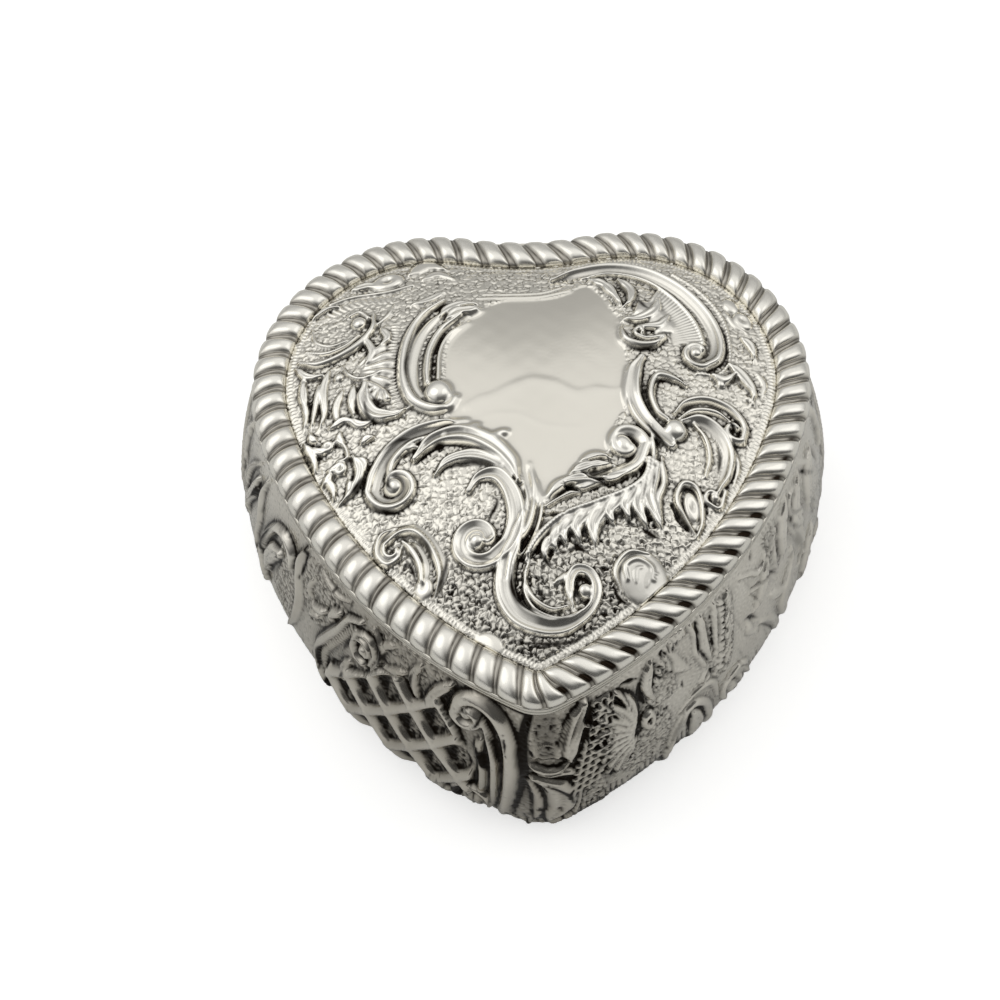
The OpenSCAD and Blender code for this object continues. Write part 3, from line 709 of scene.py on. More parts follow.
def chaseLid(f):
    # plain cartouche in the middle
    edge = smoothLine([(-7, 11.5), (-3, 13.2), (3, 13.3), (6, 14.3), (9, 15.8), (11.5, 13), (12.5, 10.5),
                       (14, 8), (13.6, 5), (14.5, 1.5), (14.8, -4), (14.5, -8), (12.5, -11.5), (11.5, -16),
                       (7, -18), (4.6, -21.5), (1.2, -25.5), (-0.5, -24), (-2, -20), (-5.5, -15.5),
                       (-10, -12), (-12.5, -9.5), (-13, -3), (-12.5, 4), (-10.5, 7.5), (-7, 11.5)])
    x, y = np.meshgrid(f["u"], f["v"])
    f["plain"][inPolygon(x, y, edge)] = 1
    scroll(f, [(-8, 13.4), (-3, 13.6), (2, 13.7), (6.5, 14.9)], 0.7, 0.35)  # fine line over the cartouche
    scroll(f, [(-7, 14.4), (-3, 14.4), (2, 14.6), (5, 15.6)], 0.6, 0.3)

    # the plain sheet is not quite flat: shallow steps and creases from raising the work round it
    scroll(f, [(-11, -8.6), (-6, -8), (-2.4, -6.2), (0.4, -5.1), (3.2, -5.6), (6.4, -7.6), (10, -7),
               (13.6, -5.8)], 4.4, 0.13, (1, 0.7, 0.3, 0.1, 0), taper=(0.3, 1, 1, 1, 0.9, 1, 1, 0.3), sharp=3)
    scroll(f, [(-9.4, -10.9), (-6, -9.8), (-2, -10), (1.4, -11.8), (4.6, -12.5), (8.4, -12.3)], 0.7, 0.07,
           taper=(0.3, 1, 1, 1, 0.3))
    scroll(f, [(4.6, -13), (6.4, -14.2), (7.6, -16.4)], 0.6, 0.05, taper=(0.3, 1, 0.3))
    scroll(f, [(-8, -7.2), (-4.6, -7.4), (-1.6, -8.4)], 0.6, 0.05, taper=(0.3, 1, 0.3))
    scroll(f, [(3, -14), (2, -17.4), (2.4, -21)], 1.6, 0.06, taper=(0.3, 1, 0.3))

    # left of the cartouche: tall C scroll of three ribs that close on a ball
    scroll(f, [(-13.0, 12.7), (-16.6, 9.6), (-18.6, 5.5), (-19.4, 1), (-19.2, -3), (-17.8, -6.4),
               (-15.2, -8.2), (-12.6, -8.3), (-11.2, -6.4)], 1.9, 1.15,
           taper=(0.35, 0.8, 1, 1, 1.2, 1.1, 0.5))
    scroll(f, [(-12.0, 11.2), (-15.2, 8.2), (-17.2, 4.5), (-18, 0), (-17.7, -3.4), (-16.6, -5.8)], 2.2, 0.5,
           taper=(0.3, 0.8, 1, 1, 0.7))
    scroll(f, [(-10.5, 9.2), (-13.4, 6.6), (-15.2, 2.8), (-15.7, -1), (-15.6, -3.6)], 1.5, 1.05,
           taper=(0.4, 0.9, 1, 1, 0.9))
    scroll(f, [(-9.4, 8.2), (-12.2, 5.6), (-13.7, 2), (-14.0, -3)], 0.9, 0.75, taper=(0.4, 1, 1, 1))
    boss(f, (-14.0, -5.4), 2.25, 1.45)
    leaf(f, [(-12.6, 8.6), (-11, 10), (-9, 10.4), (-7, 11)], 2.6, 1.15, notches=2)
    leaf(f, [(-13.6, 9.6), (-12.6, 11), (-10.4, 12), (-7.6, 12)], 1.8, 0.8)
    ticks(f, [(-20.6, 9), (-21, 4), (-21, -2), (-20.2, -7)], 1.5, 0.62, 0.45)

    # upper left: eyed volute with rings, petals along the border
    scroll(f, [(-35.6, 3.6), (-32.5, 2.6), (-29, 3.6), (-26, 5.6), (-24.2, 8.2), (-24.0, 11)], 1.5, 1.0,
           taper=(0.3, 0.9, 1, 1.1, 0.9, 0.5))
    scroll(f, [(-34.6, 5.6), (-31.5, 4.6), (-28.6, 5.3), (-26.2, 7.2)], 0.9, 0.7, taper=(0.4, 1, 1, 0.8))
    scroll(f, [(-33.6, 9.8), (-33, 7.2), (-30.6, 5.9), (-28, 6.6)], 0.8, 0.6, taper=(0.4, 1, 1, 0.6))
    scroll(f, [(-27.8, 11.4), (-26.2, 12), (-24.8, 10.6)], 0.8, 0.7)
    boss(f, (-26.3, 9.6), 1.35, 1.1)
    ticks(f, [(-31.6, 12.2), (-28.5, 13.6), (-25, 14.4), (-21, 14.2)], 1.9, 0.95, 0.32, lean=0.6)
    scroll(f, [(-31, 14.6), (-27.5, 15.6), (-22, 15.9), (-18, 17)], 0.8, 0.55)
    boss(f, (-22.0, 18.2), 1.9, 0.9, stretch=1.5, tilt=20, dimple=0.5)
    leaf(f, [(-27.5, 17.2), (-25, 17.8), (-22.5, 16.8)], 1.9, 0.75)
    leaf(f, [(-18.5, 19.6), (-15.8, 21.6), (-12.6, 20.4)], 2.8, 0.6, veins=0, hollow=0.1)
    leaf(f, [(-16.5, 18.2), (-14, 19.4), (-11, 17.6)], 1.6, 0.5)
    leaf(f, [(-13, 15), (-15.5, 13.4), (-18.5, 12.5)], 1.6, 0.6)
    scroll(f, [(-24.5, 8), (-22, 10.4), (-20.6, 13)], 0.9, 0.6, taper=(0.5, 1, 0.4))

    # left: ribbed shell, rolled leaf and upright leaf forms
    fan(f, (-27.6, 0.4), 1.6, 7.2, 46, -50, 6, 0.75, lift=(0.4, 0.8, 1, 0.7))
    scroll(f, [(-28.8, 1.6), (-27.6, -0.4), (-25.6, -1.4), (-22, -0.4)], 0.8, 0.9, taper=(0.4, 1, 0.9, 0.3))
    leaf(f, [(-25.2, -2.4), (-25.2, -5.6), (-23.6, -8), (-20.6, -8.6), (-18.6, -7.6)], 3.0, 1.15, hollow=0.35)
    fan(f, (-22.6, -2.6), 0.9, 3.6, 200, 300, 4, 0.85)
    leaf(f, [(-30.8, 1), (-31.6, -2.4), (-31.4, -6.4), (-32.2, -9.2)], 1.7, 0.8)
    leaf(f, [(-34.6, 1.4), (-34.9, -2.4), (-34.2, -6), (-34.6, -9)], 1.6, 0.7)
    leaf(f, [(-28.6, -3), (-29.6, -6), (-29, -9.6)], 1.5, 0.7)
    boss(f, (-29.2, -0.4), 0.9, 0.7)
    leaf(f, [(-27.6, -8.2), (-25.6, -9.4), (-23.4, -9)], 1.6, 0.8)
    # sprays of small petals
    for px, py, angle, size in ((-28.4, -12.4, 100, 2.6), (-31, -13, 150, 2.4), (-28.8, -15.4, 200, 2.4),
                                (-26.2, -15, 300, 2.6), (-30.4, -16.6, 235, 2.2), (-27.4, -18.4, 255, 3.0),
                                (-32.6, -11, 120, 2.0), (-25.6, -12.6, 20, 2.2)):
        a = math.radians(angle)
        leaf(f, [(px, py), away((px, py), size * 0.5, a + 0.3), away((px, py), size, a)], 1.5, 0.95)
    boss(f, (-30.8, -12.2), 1.15, 0.9, dimple=0.4)
    boss(f, (-28.9, -16.2), 1.3, 0.95, dimple=0.5)
    scroll(f, [(-29.6, -11.6), (-28.2, -12.6), (-27.8, -14.6), (-29.2, -15)], 0.8, 0.8)
    leaf(f, [(-27.0, -14.4), (-25.8, -17), (-26.8, -20), (-29, -21.9)], 1.9, 1.0,
         taper=(0.3, 1, 0.9, 0.6, 0.1))
    # painted shade under the leaf
    paintShade(f, [(-24.8, -17.6), (-26, -19.4), (-27.8, -21.4)], 1.0)
    for points, width in (([(-34.8, -0.6), (-34.6, -3), (-34.2, -5.4)], 1.7),
                          ([(-32.4, -1.4), (-32.8, -5), (-33.4, -9)], 1.1),
                          ([(-26.8, -2.4), (-27.2, -5.4), (-26.6, -8.2)], 1.5),
                          ([(-36, 2.6), (-34, 0.6), (-31, 0.4)], 1.5),
                          ([(-25.4, 6.6), (-24.2, 3.6), (-25.2, 0.8)], 1.6),
                          ([(-22.8, 8), (-21.8, 6), (-23, 4.4)], 1.7),
                          ([(-34.4, -11), (-33, -13.6), (-32.6, -16.4)], 1.5),
                          ([(-30.4, -9.2), (-28.2, -8.2), (-26.4, -9.4)], 1.4),
                          ([(-31.2, -17.4), (-30, -19), (-29.8, -21.2)], 1.4),
                          ([(-33.6, 12), (-31.6, 13.6), (-29, 14)], 1.0)):
        leaf(f, points, width, 0.9)
    ticks(f, [(-23.4, 3.6), (-22.6, 1), (-22.4, -1.6)], 1.6, 0.7, 0.5)

    # lower left: scroll with a deep rolled volute
    scroll(f, [(-9.5, -10.8), (-14, -11.2), (-18, -12.2), (-21.2, -14.6), (-23.4, -18), (-24.2, -20.8)], 2.6,
           1.25, rollRight, taper=(0.25, 0.8, 1, 1, 0.95, 0.9), curl=((-20.6, -20.4), 0.78, 1.2))
    scroll(f, [(-14.5, -12.8), (-18.4, -14), (-20.8, -16.4), (-21.4, -18.6)], 1.6, 0.9,
           taper=(0.3, 0.8, 1, 0.8))
    boss(f, (-20.8, -20.6), 1.5, 1.25)
    leaf(f, [(-20.6, -16.2), (-19, -14.6), (-16.6, -14.6)], 1.5, 0.85)

    # acanthus spray over the lower left of the cartouche
    leaf(f, [(-17.6, -16.6), (-14.6, -13.8), (-10.4, -13.2), (-6.4, -15), (-3.4, -18.2), (-2.2, -21.6)], 3.6,
         1.4, notches=0, hollow=0.4, taper=(0.3, 0.8, 1, 1, 0.8, 0.2))
    leaf(f, [(-14.6, -19.6), (-12.6, -17.4), (-9, -16.8), (-5.6, -18.2), (-3, -20.8)], 2.4, 1.0,
         taper=(0.2, 0.8, 1, 0.8, 0.3))
    for k, (px, py) in enumerate(((-16.4, -15.4), (-13.4, -13.6), (-9.8, -13), (-6.2, -14.4))):
        # cut tips
        leaf(f, [(px, py), (px + 0.2 + 0.5 * k, py + 1.1), (px + 0.9 + 0.7 * k, py + 1.5)], 1.5, 1.0, veins=0,
             hollow=0)
    scroll(f, [(-9.6, -22.6), (-8, -20.6), (-5.4, -20.4), (-3.4, -23), (-2.6, -27), (-3.6, -31), (-6, -33.4)],
           3.1, 1.35, channel, taper=(0.3, 0.8, 1, 1, 1, 1, 0.9), curl=((-8.2, -30.6), -0.8, 1.5))
    boss(f, (-8.6, -30.8), 1.35, 1.35)
    scroll(f, [(-0.4, -18.5), (0.2, -24), (-0.9, -29), (-3.4, -33), (-4.4, -37)], 1.2, 1.0,
           taper=(0.2, 0.9, 1, 0.9, 0.3))
    scroll(f, [(-1.6, -20.5), (-0.9, -25), (-2, -30), (-4.6, -33.6), (-5.2, -37.5)], 1.0, 0.8,
           taper=(0.2, 0.9, 1, 0.8, 0.3))
    scroll(f, [(0.9, -22), (1.2, -26), (0.2, -30), (-2.2, -33.6)], 0.9, 0.9, taper=(0.2, 1, 1, 0.3))
    boss(f, (-4.6, -19.2), 0.8, 0.9)

    # small C scroll with a tongue
    scroll(f, [(-14.6, -38), (-13.7, -34.5), (-15, -30.6), (-17.4, -27.8), (-20, -27.6), (-22.4, -29.2)], 1.9,
           1.2, rollLeft, taper=(0.3, 1, 1, 1, 0.9, 0.8), curl=((-20.9, -30.5), 0.6, 0.8))
    scroll(f, [(-20.6, -26.9), (-22.8, -28), (-23.4, -30.4), (-22, -32.3), (-20.2, -31.8), (-19.6, -30)], 1.0,
           0.85, taper=(0.2, 1, 1, 1, 0.3))
    scroll(f, [(-19.4, -29.2), (-17.8, -30.6), (-16.6, -33), (-16.4, -35.4)], 2.3, 1.15, rollRight,
           taper=(0.4, 1, 1, 0.8), sharp=2)
    boss(f, (-16.4, -36.6), 1.5, 0.6, stretch=1.2, tilt=80, dimple=0.2)
    # painted shade inside the scroll
    paintShade(f, [(-20, -28.4), (-17.4, -28.9), (-15.5, -31.4), (-15, -35.4)], 0.75)

    # big S scroll at the foot of the cartouche
    scroll(f, [(-1.6, -27), (-2.8, -31), (-4.3, -35), (-4.5, -39), (-2.6, -42.4), (1, -44.2), (4.6, -43.8),
               (7.8, -41.4), (8.9, -38.4), (8, -36.1), (6.2, -35.6), (5.1, -37), (4.9, -39.2), (5.4, -41.2)],
           3.4, 1.5, channel, taper=(0.3, 0.6, 0.9, 1, 1, 1, 0.95, 0.8, 0.6, 0.5, 0.55, 0.6, 0.5, 0.1))
    scroll(f, [(-0.6, -33.6), (-1.6, -37), (-0.4, -40), (2.2, -41.6), (4.6, -41)], 1.1, 1.0,
           taper=(0.2, 0.9, 1, 1, 0.5))
    boss(f, (7.2, -38.8), 1.3, 1.35)
    leaf(f, [(5.6, -36.2), (4.2, -36.7), (2.4, -37.8)], 1.5, 1.0, veins=0, taper=(0.8, 1, 0.8, 0.1))
    scroll(f, [(-1.2, -36), (-1.7, -39), (0, -42), (3.4, -43), (6.4, -41.6)], 0.8, 1.35,
           taper=(0.2, 0.9, 1, 0.8, 0.2))
    # painted shade along the inside of the S scroll and round the ball
    paintShade(f, [(-2.8, -34.6), (-3.3, -38.4), (-1.6, -42), (2.2, -43.6), (5.6, -42.8)], 1.5, 0.45,
          taper=(0.4, 1, 1, 0.7))
    paintShade(f, [(5.8, -37.4), (6.7, -36.8), (8, -37.4)], 0.6)
    paintShade(f, [(5.8, -38.6), (6.3, -40), (7.6, -40.4)], 0.55)

    # right of the cartouche: volute with a beaded stem that runs down to the foot
    scroll(f, [(2, -25.6), (6.5, -22.8), (11, -20.6), (15.2, -18.4), (16.8, -15)], 2.4, 1.2, slopeRight,
           taper=(0.3, 0.9, 1, 0.9, 0.8), curl=((14, -15.3), 0.85, 0.9))
    boss(f, (13.7, -15.5), 1.45, 1.2, stretch=1.3, tilt=120)
    scroll(f, [(17.6, -12), (18.1, -16), (17.3, -20), (14.4, -23.2), (9.6, -25.4), (4.4, -27.6), (1, -30.6),
               (-1.4, -34.4)], 1.5, 1.0, taper=(0.3, 0.8, 1, 1, 1, 1, 1, 0.5))
    beads(f, [(17.4, -17.4), (16.6, -20.6), (14, -22.9), (9.4, -25.1), (4.3, -27.3), (0.9, -30.3),
              (-1.4, -33.8)], 0.95, 0.62, 0.45, base=0.85)
    leaf(f, [(1.8, -24.6), (4.2, -22.2), (7.4, -21.4), (11.4, -21.4), (14.6, -20)], 2.2, 1.3, notches=3)
    leaf(f, [(5.6, -20.4), (8.6, -19.2), (12, -18.8)], 2.2, 1.15, notches=2)
    leaf(f, [(7.2, -18.2), (9.6, -17.2), (11.6, -17.6)], 1.5, 0.9)
    # dark cuts under the leaves: painted shade
    cut(f, [(7.4, -20.6), (9.2, -21.2), (11, -22)], 1.2, 0.9)
    cut(f, [(4.4, -22.4), (5.8, -23), (7.2, -23.4)], 1.0, 0.8)
    cut(f, [(1.8, -27), (3.4, -26.8), (4.4, -27)], 0.8, 0.7)
    # long leaf under the stem: lobes that stay joined at the root and end in points
    scroll(f, [(18, -19), (15.4, -23.4), (10.2, -25.9), (5.2, -28.2), (1.6, -31.6)], 2.6, 1.05,
           taper=(0.5, 1, 1, 0.9, 0.4))
    for root, bend, tip, width in (((18.2, -18.4), (17.0, -23.6), (18.9, -29.0), 3.0),
                                   ((16.9, -20.6), (15.4, -25.0), (16.7, -28.8), 3.0),
                                   ((15.4, -22.4), (13.5, -25.2), (14.2, -27.8), 2.8),
                                   ((13.2, -23.8), (11.1, -26.4), (11.8, -28.6), 2.9),
                                   ((11.0, -24.8), (8.7, -28.4), (8.9, -32.3), 3.3),
                                   ((8.2, -26.2), (6.2, -28.9), (6.7, -31.6), 2.9),
                                   ((6.0, -27.4), (4.2, -29.7), (4.7, -32.1), 2.6),
                                   ((4.2, -28.8), (2.8, -31.1), (3.2, -33.1), 2.3),
                                   ((2.6, -30.6), (1.4, -32.8), (1.7, -34.6), 1.9)):
        leaf(f, [root, bend, tip], width, 1.25, hollow=0.3, taper=(0.7, 1, 1, 0.85, 0.5, 0.05),
             lift=(0.75, 1, 1.05, 0.8))
        cut(f, [root, ((root[0] + bend[0]) / 2 + 0.3, (root[1] + bend[1]) / 2), (bend[0] + 0.5, bend[1])],
            0.32, 0.12)
    # painted shade between the lobes
    for points, width in (([(5.4, -30.8), (6.2, -31.9), (7.8, -32.9)], 1.3),
                          ([(15.2, -28.2), (16.8, -29.2), (18.8, -30.2)], 1.1),
                          ([(13, -27), (14.4, -28.2), (15.4, -28.4)], 0.9),
                          ([(0.9, -33.6), (2, -34.8), (3, -34.4)], 1.0),
                          ([(3.2, -32.6), (4, -32.9), (5, -32.6)], 0.8),
                          ([(9.6, -30), (10.2, -28.8), (11, -28.6)], 0.7)):
        paintShade(f, points, width)
    scroll(f, [(19.2, -17), (19.4, -21), (18.4, -24), (18.8, -27.4)], 1.3, 0.95, taper=(0.3, 1, 1, 0.4))

    # right: C scroll with a ball, hook at its head
    scroll(f, [(17, 0.4), (15.7, -2.4), (15.3, -6.4), (16.4, -10), (18.6, -12.8), (20.8, -14.8)], 2.9, 1.3,
           channel, taper=(0.4, 0.9, 1, 1, 0.9, 0.6))
    scroll(f, [(23.6, -4.6), (20.8, -3.2), (18.9, -3.4), (18.1, -6.4), (18.9, -9.4), (20.4, -10.8)], 1.5, 1.1,
           taper=(0.3, 1, 1, 1, 0.9, 0.7))
    leaf(f, [(18.6, -2), (20.4, -2.4), (22.6, -3.4)], 1.3, 0.8, veins=0)
    boss(f, (21.5, -12.5), 1.9, 1.5)

    # upper right: big C scroll over a fluted shell
    scroll(f, [(3.5, 17.0), (7.6, 18.7), (13, 19.4), (18.6, 18), (23.4, 14.6), (27, 9.8), (28.7, 5),
               (28.4, 1.4), (26.4, -0.4)], 2.5, 1.35, rollLeft, taper=(0.25, 0.8, 1, 1, 1, 1, 1, 0.95, 0.9),
           curl=((25.6, 1.5), -0.62, 0.8))
    scroll(f, [(8.4, 17.4), (13, 17.9), (18, 16.4), (22, 13), (25, 8.6), (26.4, 4.4), (26.2, 2.4)], 0.9, 0.95,
           taper=(0.3, 1, 1, 1, 1, 1, 0.4))
    boss(f, (25.4, 1.7), 1.1, 1.1)
    fan(f, (13.6, 2.6), 8.2, 13.6, 62, 4, 22, 0.75, dip=0.5, lift=(0.35, 0.7, 0.95, 1), scallop=0.03)
    fan(f, (14.6, 4.4), 4.6, 8.6, 74, 8, 3, 0.7, dip=0.35, lift=(0.6, 1, 0.9, 0.6))
    leaf(f, [(9.6, 16.8), (11.8, 15.4), (13.2, 13.2), (14.4, 10.6)], 2.3, 1.0, notches=3)
    leaf(f, [(14, 16.6), (15.8, 14.2), (15.6, 11.6), (14.4, 10.4)], 1.9, 1.05)
    leaf(f, [(20, 12), (19.4, 9.8), (17, 8), (14, 7.8)], 2.1, 1.05)
    leaf(f, [(21.4, 8.6), (20, 6.8), (17.6, 6.4), (15.8, 6.2)], 1.6, 1.0)
    scroll(f, [(20.6, 4.6), (18, 4), (16.4, 4.6)], 1.0, 0.95, curl=((16.9, 5.3), -0.7, 0.4))
    scroll(f, [(14, 6.2), (14.6, 3.8), (16.6, 2.7), (19, 2.9), (20.6, 4.2)], 1.5, 1.15,
           taper=(0.3, 1, 1.1, 1, 0.3))
    beads(f, [(22.4, 18.6), (26.4, 15), (29.6, 10), (30.6, 5), (30.4, 1), (28.6, -1.6), (25, -2)], 0.75, 0.62,
          0.5)
    ticks(f, [(10, 21), (15, 21.4), (20, 20.2)], 1.1, 0.6, 0.35)

    # far right: bosses and short petals along the border
    boss(f, (31.3, 12.2), 1.3, 0.6, stretch=1.4, tilt=120)
    boss(f, (33.0, 9.2), 1.5, 0.75, stretch=1.3, tilt=120, dimple=0.35)
    leaf(f, [(30.4, 10.6), (31.8, 8), (34, 6.6)], 1.0, 0.6, veins=0)
    leaf(f, [(32.6, 5.6), (33.9, 4.2), (34.5, 1.8)], 1.9, 0.9)
    leaf(f, [(30.4, 0.2), (32.2, -1.6), (33.8, -4.2), (33.6, -6)], 2.2, 0.95)
    leaf(f, [(27.6, -2.2), (29.6, -2.8), (31.4, -1.2)], 1.7, 0.95, veins=0, hollow=0)
    boss(f, (28.9, -3.6), 0.8, 0.7)
    leaf(f, [(34.6, -0.6), (35.6, -2.6), (35, -5)], 1.2, 0.6, veins=0)

    # right: acanthus that turns over into a volute, long leaf running down beside it
    scroll(f, [(21.4, -9.6), (23.4, -7.4), (26.6, -6.6), (30, -7.8), (32, -10.4), (31.6, -13)], 1.5, 1.05,
           taper=(0.3, 0.9, 1, 1, 1, 0.8), curl=((30.6, -11.4), -0.7, 0.5))
    scroll(f, [(22, -10.4), (24.6, -8.7), (27.6, -8.6), (30, -10)], 1.2, 0.8, taper=(0.3, 1, 1, 0.4))
    scroll(f, [(22.4, -11), (25.6, -10.4), (28, -12), (29.4, -15), (29, -18.4), (27.4, -21.8)], 2.2, 1.25,
           rollLeft, taper=(0.4, 1, 1.1, 1, 0.9, 0.3))
    scroll(f, [(24.4, -11), (26, -13.6), (26.4, -16.6), (25.6, -19.6)], 1.1, 0.95, taper=(0.3, 1, 1, 0.3))
    scroll(f, [(30.2, -14), (30.8, -17), (29.8, -20.4)], 0.9, 0.6, taper=(0.3, 1, 0.3))
    scroll(f, [(28.6, -21.4), (27.6, -24.2), (25.8, -23.6)], 0.9, 0.7, curl=((26.8, -22.5), -0.5, 0.5))
    boss(f, (27.0, -22.6), 0.8, 0.7)
    scroll(f, [(23.6, -28.8), (21.9, -26.2), (21.2, -23.4), (22.3, -21.1), (24.1, -21.5), (24.9, -24),
               (24.8, -27), (23.9, -29.2)], 1.3, 1.0, taper=(0.4, 1, 1, 1, 0.8, 0.6, 0.3))
    boss(f, (23.4, -24.4), 1.2, 0.5, stretch=2.1, tilt=100, dimple=0.3)
    # painted shadow beside the frame
    cut(f, [(20.4, -24.4), (21.8, -26.8), (23.6, -28.8)], 1.1, 0.9)

    # bud in a round frame beside the S scroll
    scroll(f, [(12.4, -38.6), (11.6, -35.4), (13.6, -32.6), (16.6, -32.4)], 1.3, 1.0, taper=(0.3, 1, 1, 0.3))
    boss(f, (15.6, -36.0), 3.9, 0.8, stretch=1.08, tilt=110)
    scroll(f, [(13.4, -36.6), (13.2, -34.6), (15, -33.5), (17, -34.6), (17, -36.4)], 1.0, 0.5, base=0.5,
           curl=((15.6, -36), 0.0, 1.7))
    leaf(f, [(14.6, -37), (14.8, -35.2), (16, -34.6)], 1.1, 0.5, veins=0, base=0.6)
    leaf(f, [(16.2, -37.4), (16.8, -35.8), (18, -35.4)], 1.1, 0.5, veins=0, base=0.55)
    # painted shade across the bud and under its frame
    paintShade(f, [(12.6, -37.4), (15.4, -36.4), (18.6, -35)], 5.4, 0.28, taper=(0.6, 1, 0.8))
    paintShade(f, [(11.3, -36.6), (11.8, -39), (13.9, -40.4)], 0.8)

    # painted shade in the deepest corners and under the raised work
    for points, width in (([(-14, -19.2), (-11.4, -18.2), (-7.6, -18.2), (-4.2, -19.6)], 1.1),
                          ([(-15.4, -15.8), (-13.8, -14.9), (-12.2, -14.8)], 0.9),
                          ([(-24.8, -22), (-23, -24), (-20.2, -24.6), (-17.8, -23.4)], 0.8),
                          ([(-21, -18.4), (-21.6, -20.4), (-20.4, -21.9)], 0.8),
                          ([(-22.6, -15.2), (-20, -13.4), (-16.6, -12.7)], 0.7),
                          ([(8.4, -21), (10, -21.8), (11.4, -22.4)], 1.1),
                          ([(4.6, -22.6), (6, -23.2), (7.4, -23.5)], 0.8),
                          ([(16.6, -11), (18.4, -13.4), (20.4, -15.6)], 1.0),
                          ([(14.6, 2.4), (17, 1.8), (19.6, 2.6)], 0.9),
                          ([(17.4, -3.4), (17.2, -7), (18.4, -10.4)], 0.9),
                          ([(-3.2, -34.6), (-3.5, -38.4), (-2, -41.2), (1.4, -42.6)], 0.9),
                          ([(0.3, -36.8), (0.6, -39.4), (2.6, -40.4)], 0.8),
                          ([(-5.6, -44.6), (-1, -46.4), (5, -46), (9.4, -42.6)], 0.9),
                          ([(5.6, -38.4), (6.6, -36.9), (7.4, -37.6)], 0.7),
                          ([(22.4, 0.4), (24.6, -1.6)], 0.8),
                          ([(20.2, -24.6), (21.8, -27.2), (23.4, -29.2)], 0.9),
                          ([(27.4, -13), (28, -16), (27.4, -19.6)], 0.8),
                          ([(-16.2, -29.4), (-18.4, -28.8), (-20.6, -29.4)], 0.5),
                          ([(-15.6, -38.6), (-14.2, -37), (-13, -33.4), (-13.4, -30.2)], 0.8),
                          ([(-19.4, -31.2), (-18, -33.8), (-17.4, -36.4)], 0.8),
                          ([(-5.9, -29.4), (-6.6, -27.4), (-5.4, -24.4), (-7.4, -22.9)], 0.8),
                          ([(-10.4, -32.4), (-8.2, -33.4), (-5.6, -33.8)], 0.8),
                          ([(-18.4, -4.6), (-18.9, 0), (-17.8, 5)], 0.5),
                          ([(-16.4, -1), (-15.4, 4.4), (-13, 8)], 0.6),
                          ([(-25.4, -4), (-24.4, -8.8), (-20.4, -10.2)], 0.8),
                          ([(-24.6, -4.4), (-22.6, -6.4), (-20.2, -6.2)], 0.9),
                          ([(11.2, -36.6), (12, -39.4), (14.6, -40.6)], 0.8),
                          ([(16.6, 13.6), (17.8, 10.6), (19.6, 10.2)], 0.8),
                          ([(27.2, 6.6), (27.4, 3), (25.6, 0.2)], 0.6),
                          ([(29, -9.6), (30.4, -11.4), (29.6, -12.4)], 0.7)):
        paintShade(f, withMiddle(points), width)

    boss(f, (-7.2, -46), 1.9, 0.45, stretch=1.3, tilt=150)  # worn smooth patch near the border

    # chased line just inside the border
    distances = np.linspace(0, 2 * halfLength, 700)
    edge, outward = outlineAt(distances)
    ticks(f, edge + (panelOff - 0.75) * outward, 1.0, 0.62, 0.34)


